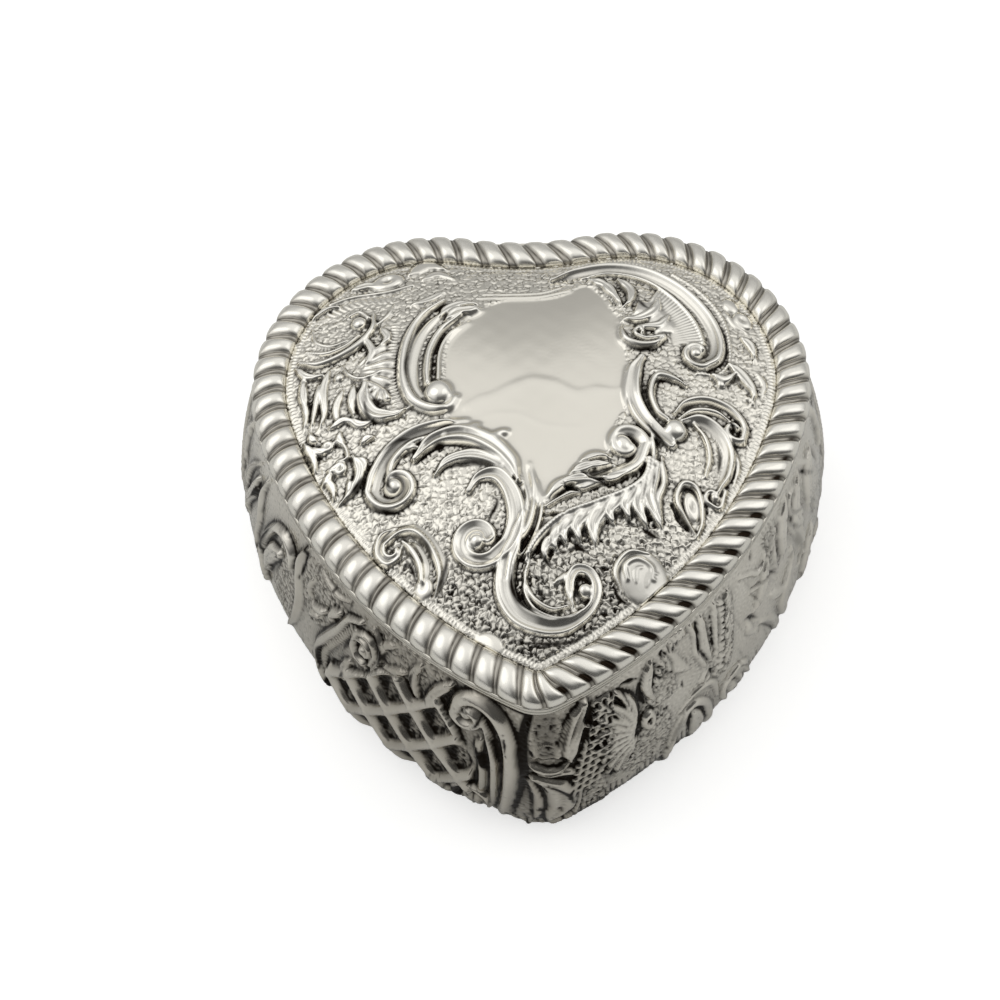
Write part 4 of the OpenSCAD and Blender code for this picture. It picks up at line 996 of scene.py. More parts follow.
def makeLidPanel(settings):
    step = settings["grid"]
    f = newField(np.arange(-38.4, 38.41, step), np.arange(-51.2, 24.2, step))
    x, y = np.meshgrid(f["u"], f["v"])
    chaseLid(f)
    sharp = blurred(f["relief"], settings["sharp"] / step)
    soft = blurred(f["relief"], settings["soft"] / step)
    near = np.clip(blurred(f["plain"], 0.5 / step) * 1.6, 0, 1)  # the chasing fades softly into the cartouche
    relief = sharp + (soft - sharp) * near
    stones, seamShade = pebbled(f, settings["pebble"], 11)
    bare = bareGround(f, blurred(f["plain"], 1.0))
    # struck harder towards the tip
    strong = 0.75 + 0.6 * np.clip((-22 - y) / 14, 0, 1) + 0.3 * np.clip((-42 - y) / 5, 0, 1)
    height = relief * settings["relief"] + settings["pebbleRise"] * stones * bare * strong
    height = height + settings["swell"] * softWaves(f, 16, 5) + settings["ripple"] * softWaves(f, 3.5, 6)
    height = height + settings["tooth"] * grain(f, 0.8, 9)
    # painted shade in the lines between the grains, wider and darker towards the tip
    wider = seamShade ** (1 / strong ** 2.6) + 0.6 * np.clip(strong - 1.0, 0, 1)
    seamShade = settings["seamShadeGain"] * np.clip(wider, 0, 1) * bare
    shadeMarks = np.maximum(seamShade, blurred(f["paintShade"], 0.8))
    oxideShadeMask = np.maximum(recessOf(height, step) * (1 - 0.7 * near), shadeMarks)
    wearAndSheen = np.clip(relief / 0.8, 0, 1)

    # keep the cells inside the rim, then draw the outermost corners onto it
    inside = insideHeart(x[:-1, :-1] + step / 2, y[:-1, :-1] + step / 2, panelOff - 0.1)
    rows, columns = x.shape
    corner = np.arange(rows * columns).reshape(rows, columns)
    quads = np.stack([corner[:-1, :-1], corner[:-1, 1:], corner[1:, 1:], corner[1:, :-1]], -1)[inside]
    used, quads = np.unique(quads, return_inverse=True)
    quads = quads.reshape(-1, 4)
    sides = np.vstack([quads[:, [0, 1]], quads[:, [1, 2]], quads[:, [2, 3]], quads[:, [3, 0]]])
    keys = np.sort(sides, 1)
    _, where, count = np.unique(keys[:, 0] * len(used) + keys[:, 1], return_index=True, return_counts=True)
    rimSides = sides[where[count == 1]]
    px, py = x.ravel()[used].copy(), y.ravel()[used].copy()
    edge, outward = outlineAt(np.linspace(0, 2 * halfLength, 5200, endpoint=False))
    edge = edge + (panelOff + 0.01) * outward
    rim = np.unique(rimSides)
    for k in rim:
        nearest = edge[np.argmin((edge[:, 0] - px[k]) ** 2 + (edge[:, 1] - py[k]) ** 2)]
        px[k], py[k] = nearest
    dome = domeRise * (1 - np.minimum(rimShare(px, py), 1) ** 2)
    z = level["panel"] + level["sheet"] + dome + height.ravel()[used]
    top = np.column_stack([px, py, z])

    # follow the rim round in order, then close the sheet underneath with rings that shrink to the middle
    follows = {int(a): int(b) for a, b in rimSides}
    loop = [int(rimSides[0][0])]
    while follows[loop[-1]] != loop[0]:
        loop.append(follows[loop[-1]])
    loop = np.array(loop)
    n, points, faces = len(loop), [top], [quads.tolist()]
    before, count = loop, len(top)
    for share in settings["rings"]:
        ring = domeCentre + share * (top[loop, :2] - domeCentre)
        points.append(np.column_stack([ring, np.full(n, level["panel"] + domeRise * (1 - share ** 2))]))
        here = count + np.arange(n)
        faces.append(np.column_stack([before, here, np.roll(here, -1), np.roll(before, -1)]).tolist())
        before, count = here, count + n
    points.append(np.array([[*domeCentre, level["panel"] + domeRise]]))
    faces.append(np.column_stack([before, np.full(n, count), np.roll(before, -1)]).tolist())
    points = np.vstack(points)
    spare = np.zeros(len(points) - len(top))
    values = {"oxideShadeMask": [*oxideShadeMask.ravel()[used], *spare], "wearAndSheen": [*wearAndSheen.ravel()[used], *spare]}
    return meshPiece("lidPanelChased", points, sum(faces, []), "lid", silverChased, ["lid_panel"],
                     values)


panelPiece = makeLidPanel(lidPanel)
print("lid panel", len(panelPiece.data.polygons), "faces")

# Gadroon border: rounded lobes that lean along the edge, a fine fillet in each groove
border = {
    "lobes": 70, "perLobe": 20, "width": 5.4, "rise": 3.0, "lip": 0.25, "groove": 0.85, "scallop": 0.35,
    "fillet": 0.28, "bend": 0.5, "hollowRoof": 36.7, "hollowInner": -1.13, "hollowOuter": -0.35,
    "lean": ((0, 2.6), (0.06, 3.2), (0.13, 2.9), (0.22, 2.4), (0.33, 3.6), (0.44, 3.9), (0.5, 2.4),
             (0.56, 1.0), (0.68, 0.5), (0.8, 0.7), (0.92, 1.9), (1, 2.6)),
}


def makeBorder(settings):
    columns = settings["lobes"] * settings["perLobe"]
    s = np.arange(columns) * 2 * halfLength / columns
    q = (np.arange(columns) % settings["perLobe"]) / settings["perLobe"]
    shares, amounts = zip(*settings["lean"])
    front = s / (2 * halfLength)
    lean = np.interp(front, shares, amounts)
    low = settings["lip"]
    high = level["panel"] + level["sheet"] - level["border"]
    crest = settings["rise"] - (low + high) / 2
    points, oxideShadeMask, wearAndSheen = [], [], []
    across = np.concatenate([np.linspace(0, 0.12, 7)[:-1], np.linspace(0.12, 0.86, 14)[:-1],
                             np.linspace(0.86, 1, 7)])
    shallow = np.interp(front, (0, 0.3, 0.5, 0.56, 0.68, 0.8, 1), (1, 1.1, 0.8, 0.55, 0.7, 0.9, 1))
    # painted shade in the lobes' outer ends, by place round the border
    pocketShade = np.interp(front, (0, 0.18, 0.26, 0.34, 0.46, 0.49, 0.52, 1), (0, 0.1, 0.8, 1.5, 1.8, 1.2, 0, 0))
    pillow = np.interp(front, (0.5, 0.55, 0.72, 0.82), (0, 1, 1, 0))
    for t in across:
        gap = 0.14 + 0.14 * t ** 1.5  # lobes narrow towards their inner ends
        body = np.clip(np.abs(2 * (q - gap) / (1 - gap) - 1), 0, 1)
        lobe = np.where(q < gap, 0, (np.clip(1 - body ** (3 - pillow), 0, 1)) ** 0.75)
        fillet = np.where(q < gap, np.sin(math.pi * q / gap), 0)
        arch = (1 - abs(2 * t ** 0.85 - 1) ** (2.8 - 0.7 * pillow)) ** 0.55 if 0 < t < 1 else 0.0
        depth = settings["groove"] * shallow * (1 - lobe) - settings["fillet"] * fillet
        z = level["border"] + low + (high - low) * t + (crest - depth) * arch
        nose = settings["scallop"] * (1 - lobe) * (1 - t) ** 2
        edge, outward = outlineAt(s + lean * (t - 0.5) + settings["bend"] * (0.25 - (t - 0.5) ** 2))
        points.append(np.column_stack([edge - outward * (settings["width"] * t + nose)[:, None], z]))
        # tarnish and painted shade in the grooves between the lobes
        groove = np.clip((0.6 - lobe) * 2, 0, 1) * (0.85 - 0.45 * fillet)
        # painted shade in the outer ends of the lobes, heaviest on the front right
        endShade = pocketShade * np.clip((0.7 - lobe) * 2.5, 0, 1) * np.exp(-((t - 0.2) / 0.19) ** 2)
        oxideShadeMask.append(np.maximum(groove, endShade))
        wearAndSheen.append(lobe)
    roof, inner, outer = settings["hollowRoof"], settings["hollowInner"], settings["hollowOuter"]
    for off, z in ((-settings["width"], roof), (inner, roof), (inner, level["border"]),
                   (outer, level["border"])):
        edge, outward = outlineAt(s + lean * (-off / settings["width"] - 0.5))
        points.append(np.column_stack([edge + outward * off, np.full(columns, z)]))
        oxideShadeMask.append(np.zeros(columns))
        wearAndSheen.append(np.ones(columns))
    faces = ringFaces(len(points), columns, looped=True)
    values = {"oxideShadeMask": np.concatenate(oxideShadeMask), "wearAndSheen": np.concatenate(wearAndSheen)}
    return meshPiece("gadroonBorderCast", np.vstack(points), faces, "lid", silverCast,
                     ["gadroon_border"], values)


borderPiece = makeBorder(border)
print("border", len(borderPiece.data.polygons), "faces")

# Wall: bombe sheet, chased all round; grid finer at the front where the tip of the heart is
wallSheet = {
    "fineStep": 0.25, "coarseStep": 0.36, "fineReach": 68, "rows": 137, "relief": 1.2, "footSpan": 2.8,
    "sunk": 0.05, "letIn": 0.6, "peakSpan": 8, "pebble": 0.95, "pebbleRise": 0.34, "seamShadeGain": 0.95, "mat": 0.8,
    "matRise": 0.05, "swell": 0.06, "clear": 0.02,
}


def patch(f, corners):  # pebbled patch in the smooth sheet
    x, y = np.meshgrid(f["u"], f["v"])
    f["plain"][inPolygon(x, y, smoothLine([*corners, corners[0]], 0.5))] = 0


def trellis(f, corners, centre, pitch, width, rise, knob):
    # crossed bands, rounded and broader where they cross, a knob on each crossing, sunk diamond pits between
    x, y = np.meshgrid(f["u"], f["v"])
    a, b = [(x - centre[0]) / pitch[0] + sign * (y - centre[1]) / pitch[1] for sign in (1, -1)]
    scale = 1 / math.hypot(1 / pitch[0], 1 / pitch[1])
    da, db = np.abs(a - np.round(a)) * scale, np.abs(b - np.round(b)) * scale
    broad = width * (0.75 + 0.6 * np.exp(-(np.maximum(da, db) / (0.55 * width)) ** 2))
    band = np.minimum(da, db) / (broad / 2)
    pits = -0.3 * np.clip((band - 1) * 1.4, 0, 1)
    height = np.where(band < 1, rise * np.clip(1 - band ** 2.2, 0, 1) ** 0.8, pits)
    # sharp thread along each band
    height = height + 0.2 * rise * np.exp(-(np.minimum(da, db) / (0.14 * width)) ** 2)
    cross = np.hypot(da, db) / knob
    knobs = (rise + 0.3) * np.sqrt(np.clip(1 - cross ** 2, 0, 1))
    height = np.maximum(height, np.where(cross < 1, knobs, -9))
    here = inPolygon(x, y, corners)
    flat = here & (f["relief"] <= 0)
    f["relief"][flat] = height[flat]
    f["relief"][here] = np.maximum(f["relief"][here], height[here])
    # painted shade in each pit, a shadow heaviest on the side away from the tip
    ga, gb = a - np.floor(a) - 0.5, b - np.floor(b) - 0.5
    dark = (0.12 + 0.88 * np.clip(((ga + gb) / 2 - 0.01) / 0.1, 0, 1)) * np.clip((band - 1) * 3, 0, 1)
    f["paintShade"][here] = np.maximum(f["paintShade"][here], dark[here])


def sideMotif(f, at, way):
    # scroll, shell and leaves that repeat round the back half; way is 1 or -1 for left and right
    def p(points):  # moved along the wall, mirrored on the right
        return [(at + way * a, b) for a, b in points]

    scroll(f, p([(-9, 3), (-10.5, 10), (-9, 18), (-4.6, 24.6), (1.6, 27.2), (7, 25)]), 2.6, 1.0, channel,
           taper=(0.3, 0.8, 1, 1, 1, 0.9), curl=(p([(4.4, 22.4)])[0], -0.8 * way, 0.9))
    boss(f, p([(4.4, 22.4)])[0], 1.3, 0.95)
    scroll(f, p([(-7, 4), (-7.6, 11), (-5.6, 17.6), (-1.4, 22)]), 1.0, 0.7, taper=(0.3, 1, 1, 0.3))
    fan(f, p([(-1, 10)])[0], 2, 9.5, 90 - 12 * way, 90 - 110 * way, 6, 0.8, dip=0.45)
    boss(f, p([(-1, 10)])[0], 1.9, 0.9, dimple=0.4)
    leaf(f, p([(-2, 8), (-3.6, 4.6), (-2.6, 1.6)]), 3.2, 0.8, notches=2)
    leaf(f, p([(1, 8), (3.6, 5.6), (4.4, 2)]), 3.2, 0.8, notches=2)
    scroll(f, p([(14, 31.6), (12, 26), (12.6, 18), (15.4, 10), (15, 3)]), 1.8, 0.8,
           rollLeft if way > 0 else rollRight, taper=(0.3, 1, 1, 1, 0.4))
    leaf(f, p([(9, 31.6), (10.4, 28), (9.4, 23.6)]), 2.4, 0.7)
    leaf(f, p([(-12.6, 31.4), (-11.6, 26.6), (-13.4, 21.6)]), 2.4, 0.7)
    leaf(f, p([(-6.4, 31.6), (-3.6, 29.8), (0.6, 30.6)]), 1.9, 0.6)
    leaf(f, p([(9.6, 4), (10.8, 9), (9.4, 14.6)]), 2.4, 0.75, veins=2)
    ticks(f, p([(-12.4, 4), (-13.2, 10), (-12, 17)]), 1.4, 0.75, 0.4)
    patch(f, p([(-9.4, 19), (-12, 28), (-4, 31), (6, 30), (9, 20), (10.4, 12), (6, 1.5), (-7, 1.5), (-4, 14),
                (2, 20), (0, 25)]))


def chaseWall(f):
    # u runs round the wall from the tip, clockwise from above, so plus is the left side; v is height
    f["plain"][:] = 1  # smooth until patches open it

    # tip: pebbled panel, small arch and bar, a narrow drop of painted shade down the panel, with long lines
    # of painted shade that run down beside it
    patch(f, [(-2.9, 33), (-3.1, 29), (-2.6, 25.4), (-0.6, 24), (1.2, 26), (1.5, 33)])
    paintShade(f, [(-0.8, 33.4), (-0.9, 29), (-0.7, 25)], 4.2, 0.4, taper=(1, 1, 0.6))
    scroll(f, [(-2.0, 24.2), (-1.9, 26.6), (-0.8, 27.8), (0.5, 26.8), (0.8, 24.6)], 0.8, 0.6)
    # knot of two short leaves
    leaf(f, [(1.2, 23.0), (-0.8, 21.4), (-3.6, 21.8)], 1.3, 0.8, veins=0, hollow=0)
    leaf(f, [(-3.8, 19.2), (-2.2, 20.6), (0.2, 20.2)], 1.2, 0.8, veins=0, hollow=0)
    # painted shade under the knot
    paintShade(f, [(1.0, 21.8), (-0.6, 20.9), (-2.6, 21.0)], 0.45)
    leaf(f, [(0.8, 19.4), (-1.6, 16.4), (-2.2, 11.0), (-0.4, 5.0)], 3.6, 0.95, hollow=0.3,
         taper=(0.3, 0.9, 1, 0.7, 0.2))
    scroll(f, [(1.5, 18.6), (0.4, 13), (0.6, 8), (1.8, 2.4)], 0.9, 0.7, taper=(0.4, 1, 1, 0.5))
    scroll(f, [(-3.6, 17.6), (-4.4, 12.6), (-3.4, 7.4), (-1.0, 3.2)], 0.9, 0.6, taper=(0.3, 1, 1, 0.4))
    # painted shade beside the leaf and at its foot
    paintShade(f, [(-0.7, 17.4), (-2.6, 14.6), (-3.2, 11.6)], 0.8, taper=(0.4, 1, 0.4))
    paintShade(f, [(0.2, 8.4), (-0.4, 5.2), (0.4, 2.6)], 0.7, 0.9)
    patch(f, [(-3.4, 19.4), (-6.4, 20), (-8.6, 13), (-9, 4), (-4, 2.4), (-4.2, 8), (-5, 13)])
    for a, b in ((-0.9, 27), (0.2, 9.4), (-1.9, 10), (0.9, 25.4), (-1.6, 31), (0.4, 30)):
        cut(f, [(a, b + 0.8), (a + 0.1, b), (a - 0.1, b - 0.9)], 0.6, 0.3)
    # painted shade down beside the tip and along the top
    paintShade(f, [(1.6, 34.2), (2.2, 30), (2.2, 25), (1.9, 20), (2.3, 14), (3.2, 6)], 1.9,
          taper=(1, 1, 0.9, 0.5, 0.35, 0.2))
    paintShade(f, [(2.6, 34.2), (4.6, 34.1), (9, 34.2)], 1.4, taper=(1, 0.6, 0.2))

    # left of the tip: tall ribbed leaf that rolls over into a volute
    scroll(f, [(5.6, 1.4), (4.4, 8), (3.7, 15), (3.6, 22), (4.4, 27.6), (6.6, 31.6), (9.8, 32.8), (12.4, 31),
               (13.2, 28)], 2.3, 1.3, (0.5, 0.8, 1, 0.9, 0.7),
           taper=(0.4, 0.8, 0.9, 1, 1.05, 1.2, 1.2, 1, 0.9), lift=(0.1, 0.7, 1, 1, 1, 1),
           curl=((10.8, 28.9), -0.72, 1.1))
    boss(f, (11.1, 29.2), 1.3, 1.15)
    scroll(f, [(8.0, 3), (6.4, 9), (5.9, 15), (6.2, 21), (7.4, 26.2), (8.8, 30)], 1.5, 1.05,
           taper=(0.3, 0.9, 1, 1, 0.8, 0.3), lift=(0.1, 0.7, 1, 1, 1))
    scroll(f, [(9.2, 6), (8.0, 12), (8.0, 18), (9.2, 23.4)], 1.5, 0.85, taper=(0.3, 1, 1, 0.3),
           lift=(0.2, 1, 1))
    cut(f, [(4.7, 29.2), (4.4, 26.8), (4.0, 24.6)], 0.7, 0.4)
    # painted shade between the ribs, under the volute and beside the boss
    paintShade(f, [(7.6, 27.2), (6.0, 23.6), (4.9, 18.6)], 0.85)
    paintShade(f, [(9.4, 23.6), (8.4, 20.6), (7.2, 17.2)], 1.5)
    paintShade(f, [(8.6, 31.6), (8.9, 29), (9.9, 27)], 0.7)
    paintShade(f, [(10.4, 30.4), (11.4, 29.9), (12.4, 28.9)], 0.5, 0.9)
    paintShade(f, [(6.2, 15), (6.3, 10), (7.2, 5)], 0.5, 0.8)
    leaf(f, [(8.4, 24.4), (8.8, 21.4), (7.6, 17.8)], 1.3, 0.9)
    scroll(f, [(6.6, 7), (7.2, 9.6), (9.4, 10.6), (12, 9.2), (12.8, 6), (11.4, 3)], 1.2, 0.95,
           taper=(0.5, 1, 1, 1, 1, 0.4))
    boss(f, (9.6, 6.2), 2.0, 0.7, stretch=1.2, tilt=90)
    # painted shade inside the loop
    paintShade(f, [(9.6, 10), (10.3, 8.6), (10.1, 6.6)], 0.9)
    for k in range(5):  # painted shade strokes that stand for a fluted foot under the trellis
        paintShade(f, [(12.4 + 1.3 * k, 8.4), (13.2 + 1.3 * k, 5), (14.6 + 1.3 * k, 2)], 0.5, 0.7)

    # left: trellis with knobs over a pebbled ground, framed above by leaves
    patch(f, [(9.4, 11), (11, 20), (13.4, 25), (14.6, 33), (27, 33), (27.4, 24), (32, 21), (38, 12),
              (38, 2.4), (13, 2.4)])
    # painted shade under the leaves that frame the trellis
    paintShade(f, [(18.0, 29.6), (18.4, 27.4), (17.6, 26)], 0.9, 0.9)
    paintShade(f, [(20.4, 31.6), (21, 29.2), (20.4, 26.6)], 0.9, 0.9)
    paintShade(f, [(14.4, 30), (14.8, 27.6), (14.2, 26.2)], 0.8, 0.9)
    trellis(f, [(9.6, 2), (9.4, 16), (13, 24.6), (16, 29), (19, 25.6), (22.6, 27.4), (27, 25.4), (29.6, 21),
                (37.5, 15), (40, 2)], (20.3, 22.4), (8.6, 11.0), 2.8, 0.95, 1.2)
    leaf(f, [(14.2, 33), (16, 30.4), (18.6, 25.6)], 2.2, 1.0)
    leaf(f, [(19.6, 33), (20.8, 29.6), (19.4, 25)], 1.8, 1.0)
    leaf(f, [(22, 29), (24.2, 27.4), (26.8, 26.2)], 1.5, 1.0, veins=0)
    leaf(f, [(24.6, 32.8), (26.6, 31), (27, 28)], 1.6, 0.8)

    # left: ringed volute, rope of short leaves falling from it
    # painted shade round the volute and beside the rope of leaves
    paintShade(f, [(27.2, 26), (27.0, 29), (28.2, 31.4), (29.4, 32)], 0.8, taper=(0.4, 1, 0.9, 0.2))
    paintShade(f, [(33.0, 26.6), (34.2, 23.4), (35.4, 19.6)], 1.3, 0.9)
    paintShade(f, [(38.2, 18.6), (39.8, 15.6), (40.2, 12.6), (39.9, 8.6)], 1.1)
    paintShade(f, [(29.6, 28.6), (31, 28.9), (32.6, 27)], 0.45, 0.8)
    paintShade(f, [(33.6, 17.4), (34.2, 15.4)], 0.9, 0.9, taper=(0.5, 1, 0.5))
    scroll(f, [(29.4, 32.4), (27.8, 30.6), (27.4, 27), (28.6, 23.6)], 1.4, 1.1, rollRight,
           taper=(0.3, 1, 1, 0.6))
    scroll(f, [(29, 24.2), (28.3, 27), (29.6, 29.4), (32, 28.6), (32.9, 26), (32, 23.4), (30.2, 22.9)], 1.0,
           0.9, curl=((30.6, 25.9), 0.9, 0.9))
    boss(f, (30.6, 25.9), 1.0, 0.95)
    scroll(f, [(31.6, 31.6), (34.4, 29.4), (36.4, 24.6), (38.8, 19.6), (40.6, 15), (40.4, 10), (38.6, 5)],
           1.7, 1.0, taper=(0.4, 0.9, 1, 1, 1, 0.9, 0.4))
    ticks(f, [(33, 29), (35, 24.6), (37.4, 19.6), (39.2, 15), (39, 10)], 1.5, 0.9, 0.75, lean=0.5)
    leaf(f, [(33.2, 20), (34.4, 16.6), (33.8, 13)], 1.8, 0.8)
    patch(f, [(35, 30), (45, 32), (46, 25), (44, 19), (40.6, 20), (37.6, 25)])
    leaf(f, [(36.2, 29), (38, 26.6), (37.4, 25.2)], 1.8, 0.95, veins=0, hollow=0)
    leaf(f, [(39.4, 25.6), (41, 24.4), (43, 24)], 1.6, 0.95, veins=0, hollow=0)
    leaf(f, [(40.6, 22.6), (42.2, 21.6), (44, 20)], 1.5, 0.85)
    leaf(f, [(43.4, 28.6), (44, 26), (42.8, 24.4)], 1.4, 0.8)
    scroll(f, [(34.4, 33), (38, 31.6), (42.6, 33)], 1.1, 0.6, taper=(0.3, 1, 0.3))

    # far left: open C scroll over a petal, paired strokes beyond
    # painted shade beside the scroll, the petal and the strokes
    paintShade(f, [(46.4, 33.4), (46.0, 30), (46.8, 25)], 0.9, taper=(0.8, 1, 0.2))
    paintShade(f, [(55.4, 27.6), (57.4, 22.6), (58.6, 18.6), (58.4, 15.4)], 0.9, taper=(0.2, 0.8, 1, 0.5))
    paintShade(f, [(53.4, 23.6), (52.6, 21.4), (53, 19)], 0.8)
    paintShade(f, [(55, 17.4), (56.4, 15)], 0.5, 0.8)
    paintShade(f, [(63.2, 27.8), (63.8, 24.6), (65, 21.6)], 0.9)
    paintShade(f, [(65, 29), (66.6, 25.6), (67.4, 22)], 0.6)
    paintShade(f, [(61, 16), (62, 12), (63.4, 9.6)], 0.7, 0.8)
    # short strokes of painted shade under the top
    for a, b in ((34.4, 33.4), (38.2, 33.2), (42.4, 33)):
        paintShade(f, [(a, b), (a + 0.3, b - 2)], 0.7, 0.8, taper=(0.6, 1, 0.3))
    scroll(f, [(46.2, 33), (47.2, 29.4), (47.0, 25), (46.4, 20.6), (47.4, 14), (50, 7)], 1.9, 0.95, rollLeft,
           taper=(0.4, 1, 1, 0.9, 0.7, 0.3))
    scroll(f, [(49.2, 24.4), (49.6, 27.4), (51.8, 29), (54.6, 27.6), (56.8, 24), (58.6, 19), (59, 14.4),
               (57.6, 9)], 1.6, 1.05, taper=(0.6, 1, 1, 1, 1, 0.9, 0.4))
    leaf(f, [(52.8, 23.4), (55, 21), (56.6, 17), (57, 12.6)], 3.2, 1.0, taper=(0.5, 1, 0.9, 0.6, 0.1))
    patch(f, [(49, 24), (50.4, 28), (53, 27), (53, 20), (55, 13), (50, 9), (47.6, 16)])
    scroll(f, [(60.4, 32), (61.6, 27), (61.4, 21), (62.4, 15), (61.4, 9)], 1.4, 0.7,
           taper=(0.4, 1, 1, 0.8, 0.3))
    leaf(f, [(63.6, 28.4), (64.8, 23.6), (66.6, 19), (67, 14)], 2.2, 0.9)
    scroll(f, [(64.4, 31), (66.8, 27.4), (68, 22.6), (68.4, 17)], 1.0, 0.8, taper=(0.4, 1, 1, 0.3))

    # right of the tip: smooth leaf, column of punched lattice, fan acanthus with a pierced boss
    leaf(f, [(-3.4, 22.6), (-4.0, 26.6), (-5.4, 30.6), (-7.0, 33.4)], 3.6, 0.95, hollow=0.2,
         taper=(0.2, 0.8, 1, 1, 0.8, 0.4))
    # painted shade along both sides of the leaf
    paintShade(f, [(-6.3, 23), (-6.8, 27), (-8.4, 31)], 0.6, taper=(0.4, 1, 0.5))
    paintShade(f, [(-2.4, 24), (-3.0, 28), (-4.6, 32)], 0.5, 0.9, taper=(0.4, 1, 0.5))
    x, y = np.meshgrid(f["u"], f["v"])
    lean = x + 0.28 * (y - 20) + 7.0
    across = 0.5 + 0.5 * np.cos(2 * math.pi * lean / 1.3)
    upward = 0.5 + 0.5 * np.cos(2 * math.pi * (y + 0.12 * lean) / 1.5)
    mesh = np.clip((np.minimum(across, upward) - 0.36) / 0.22, 0, 1)
    column = (np.abs(lean) < 2.9 - 0.08 * np.abs(y - 18)) & (y > 13) & (y < 32)
    f["relief"][column] = np.maximum(f["relief"][column], (0.62 - 0.9 * mesh)[column])  # punched square holes
    # painted shade in the holes
    f["paintShade"][column] = np.maximum(f["paintShade"][column], (1.2 * mesh)[column])
    for k, angle in enumerate(np.linspace(74, -60, 9)):
        a = math.radians(angle)
        reach = (9.6, 10.4, 10.2, 8.6, 6.8, 6.2, 6.6, 7.4, 8.0)[k]
        root = (-15.0 + 1.6 * math.cos(a), 20.6 + 2.4 * math.sin(a))
        leaf(f, [root, away(root, 0.55 * reach, a + 0.18), away(root, reach, a)], 2.1, 1.0, hollow=0.35)
        # painted shade along one edge of each leaf
        edge = a + 0.13
        paintShade(f, [away(root, 0.35 * reach, edge), away(root, 0.95 * reach, edge)], 0.5, 0.9, taper=(0.3, 1))
    boss(f, (-17.0, 20.4), 1.35, 1.1, stretch=1.7, tilt=86, dimple=1.3)
    leaf(f, [(-14.6, 23.6), (-13.4, 20), (-13.6, 15.6)], 1.6, 1.0)
    patch(f, [(-23, 26.6), (-18.4, 27.4), (-17.6, 23.6), (-21, 17), (-19, 10), (-12.6, 10), (-12, 16),
              (-15.4, 18.6), (-18.4, 22), (-22.4, 22)])
    for k in range(9):  # cut edge of the leaf above
        a, b = -25.4 + 0.78 * k, 33.0 - 0.085 * k * k
        leaf(f, [(a, b + 0.9), (a - 0.7, b - 1.2)], 0.85, 0.7, veins=0, hollow=0)
    leaf(f, [(-19, 32.6), (-17.6, 28), (-18.6, 23.6)], 2.0, 0.9)
    leaf(f, [(-22.6, 31), (-23.4, 27.4), (-25.8, 24)], 2.6, 0.7)

    # right: loops and long leaves
    scroll(f, [(-28.8, 1.6), (-29, 8), (-27.6, 12.6), (-25.2, 14.6), (-22.4, 12.4), (-20.4, 7.6),
               (-19.6, 2.4)], 1.7, 0.95, taper=(0.4, 0.9, 1, 1, 1, 0.9, 0.4))
    leaf(f, [(-25.6, 12), (-26.4, 7.6), (-25, 2.4)], 3.0, 0.75, hollow=0.2)
    scroll(f, [(-31, 10), (-29.8, 15.6), (-26, 17.2), (-22.8, 15.6)], 1.1, 0.7, taper=(0.3, 1, 1, 0.3))
    leaf(f, [(-32.6, 32.6), (-32.4, 27), (-30.8, 20)], 2.0, 0.75, hollow=0.2)
    leaf(f, [(-29.6, 32.8), (-29.2, 27.6), (-30, 21.6)], 2.0, 0.8, hollow=0.2)
    scroll(f, [(-27.2, 33), (-27.8, 29.6), (-27.4, 26.4), (-28.6, 21.8)], 0.9, 0.75)
    boss(f, (-28.6, 18.6), 1.2, 0.6, dimple=0.3)
    patch(f, [(-36.8, 31.4), (-31.8, 31.4), (-30, 22), (-30.4, 16.4), (-33.6, 15.4), (-35.6, 22)])
    rng = np.random.default_rng(17)
    for k in range(12):  # foliage of short strokes
        for side in (-1, 1):
            a, b = -34.8 + 0.2 * k + 0.5 * rng.random(), 30.8 - 1.25 * k + 0.7 * rng.random()
            reach = 1.1 + 1.1 * rng.random()
            leaf(f, [(a, b), (a + 0.6 * side * reach, b + 0.5), (a + side * reach, b + 1.5)], 0.9, 0.75,
                 veins=0, hollow=0)
        # painted shade between each pair of strokes
        paintShade(f, [(a - 0.2, b + 0.6), (a + 0.2, b - 0.2), (a + 0.1, b - 1.0)], 0.6, 0.9)
    scroll(f, [(-39.6, 3), (-37.6, 10.4), (-34.6, 11.8), (-32.2, 9.4), (-34, 3)], 1.3, 0.75,
           taper=(0.4, 1, 1, 1, 0.4))
    boss(f, (-36, 6), 1.8, 0.5, stretch=1.4, tilt=60)
    leaf(f, [(-39, 19.6), (-39.6, 16.8), (-41.6, 15.2)], 1.8, 0.6, notches=2)
    scroll(f, [(-42.4, 15.4), (-44.8, 12.4), (-47, 8), (-48.6, 3)], 1.7, 0.75, channel,
           taper=(0.5, 1, 1, 0.5))
    scroll(f, [(-46, 29.4), (-45, 28), (-43, 27.8), (-41.4, 29.6), (-38.8, 31.4)], 1.0, 0.75,
           taper=(0.5, 1, 0.8, 0.3))
    patch(f, [(-50, 32.6), (-46, 32.6), (-46.6, 28), (-48, 22), (-50, 24)])
    scroll(f, [(-47.6, 20), (-44.6, 23.6), (-40.4, 25.6)], 0.9, 0.6, taper=(0.3, 1, 0.3))
    scroll(f, [(-49.6, 29), (-48.2, 25.6), (-48.4, 21.6)], 0.9, 0.6, taper=(0.3, 1, 0.3))
    leaf(f, [(-45.6, 18.6), (-48, 15.6), (-51.6, 13.6)], 1.9, 0.5)
    scroll(f, [(-58, 30), (-56, 31), (-54.8, 29.4), (-55.6, 26.8), (-58, 24.6), (-58.6, 21.8)], 1.1, 0.8,
           taper=(0.5, 1, 1, 1, 0.4))
    scroll(f, [(-52.2, 30), (-54, 25.4), (-55.8, 20), (-56.6, 15.6), (-55.6, 12)], 1.0, 0.75,
           taper=(0.3, 1, 1, 1, 0.3))
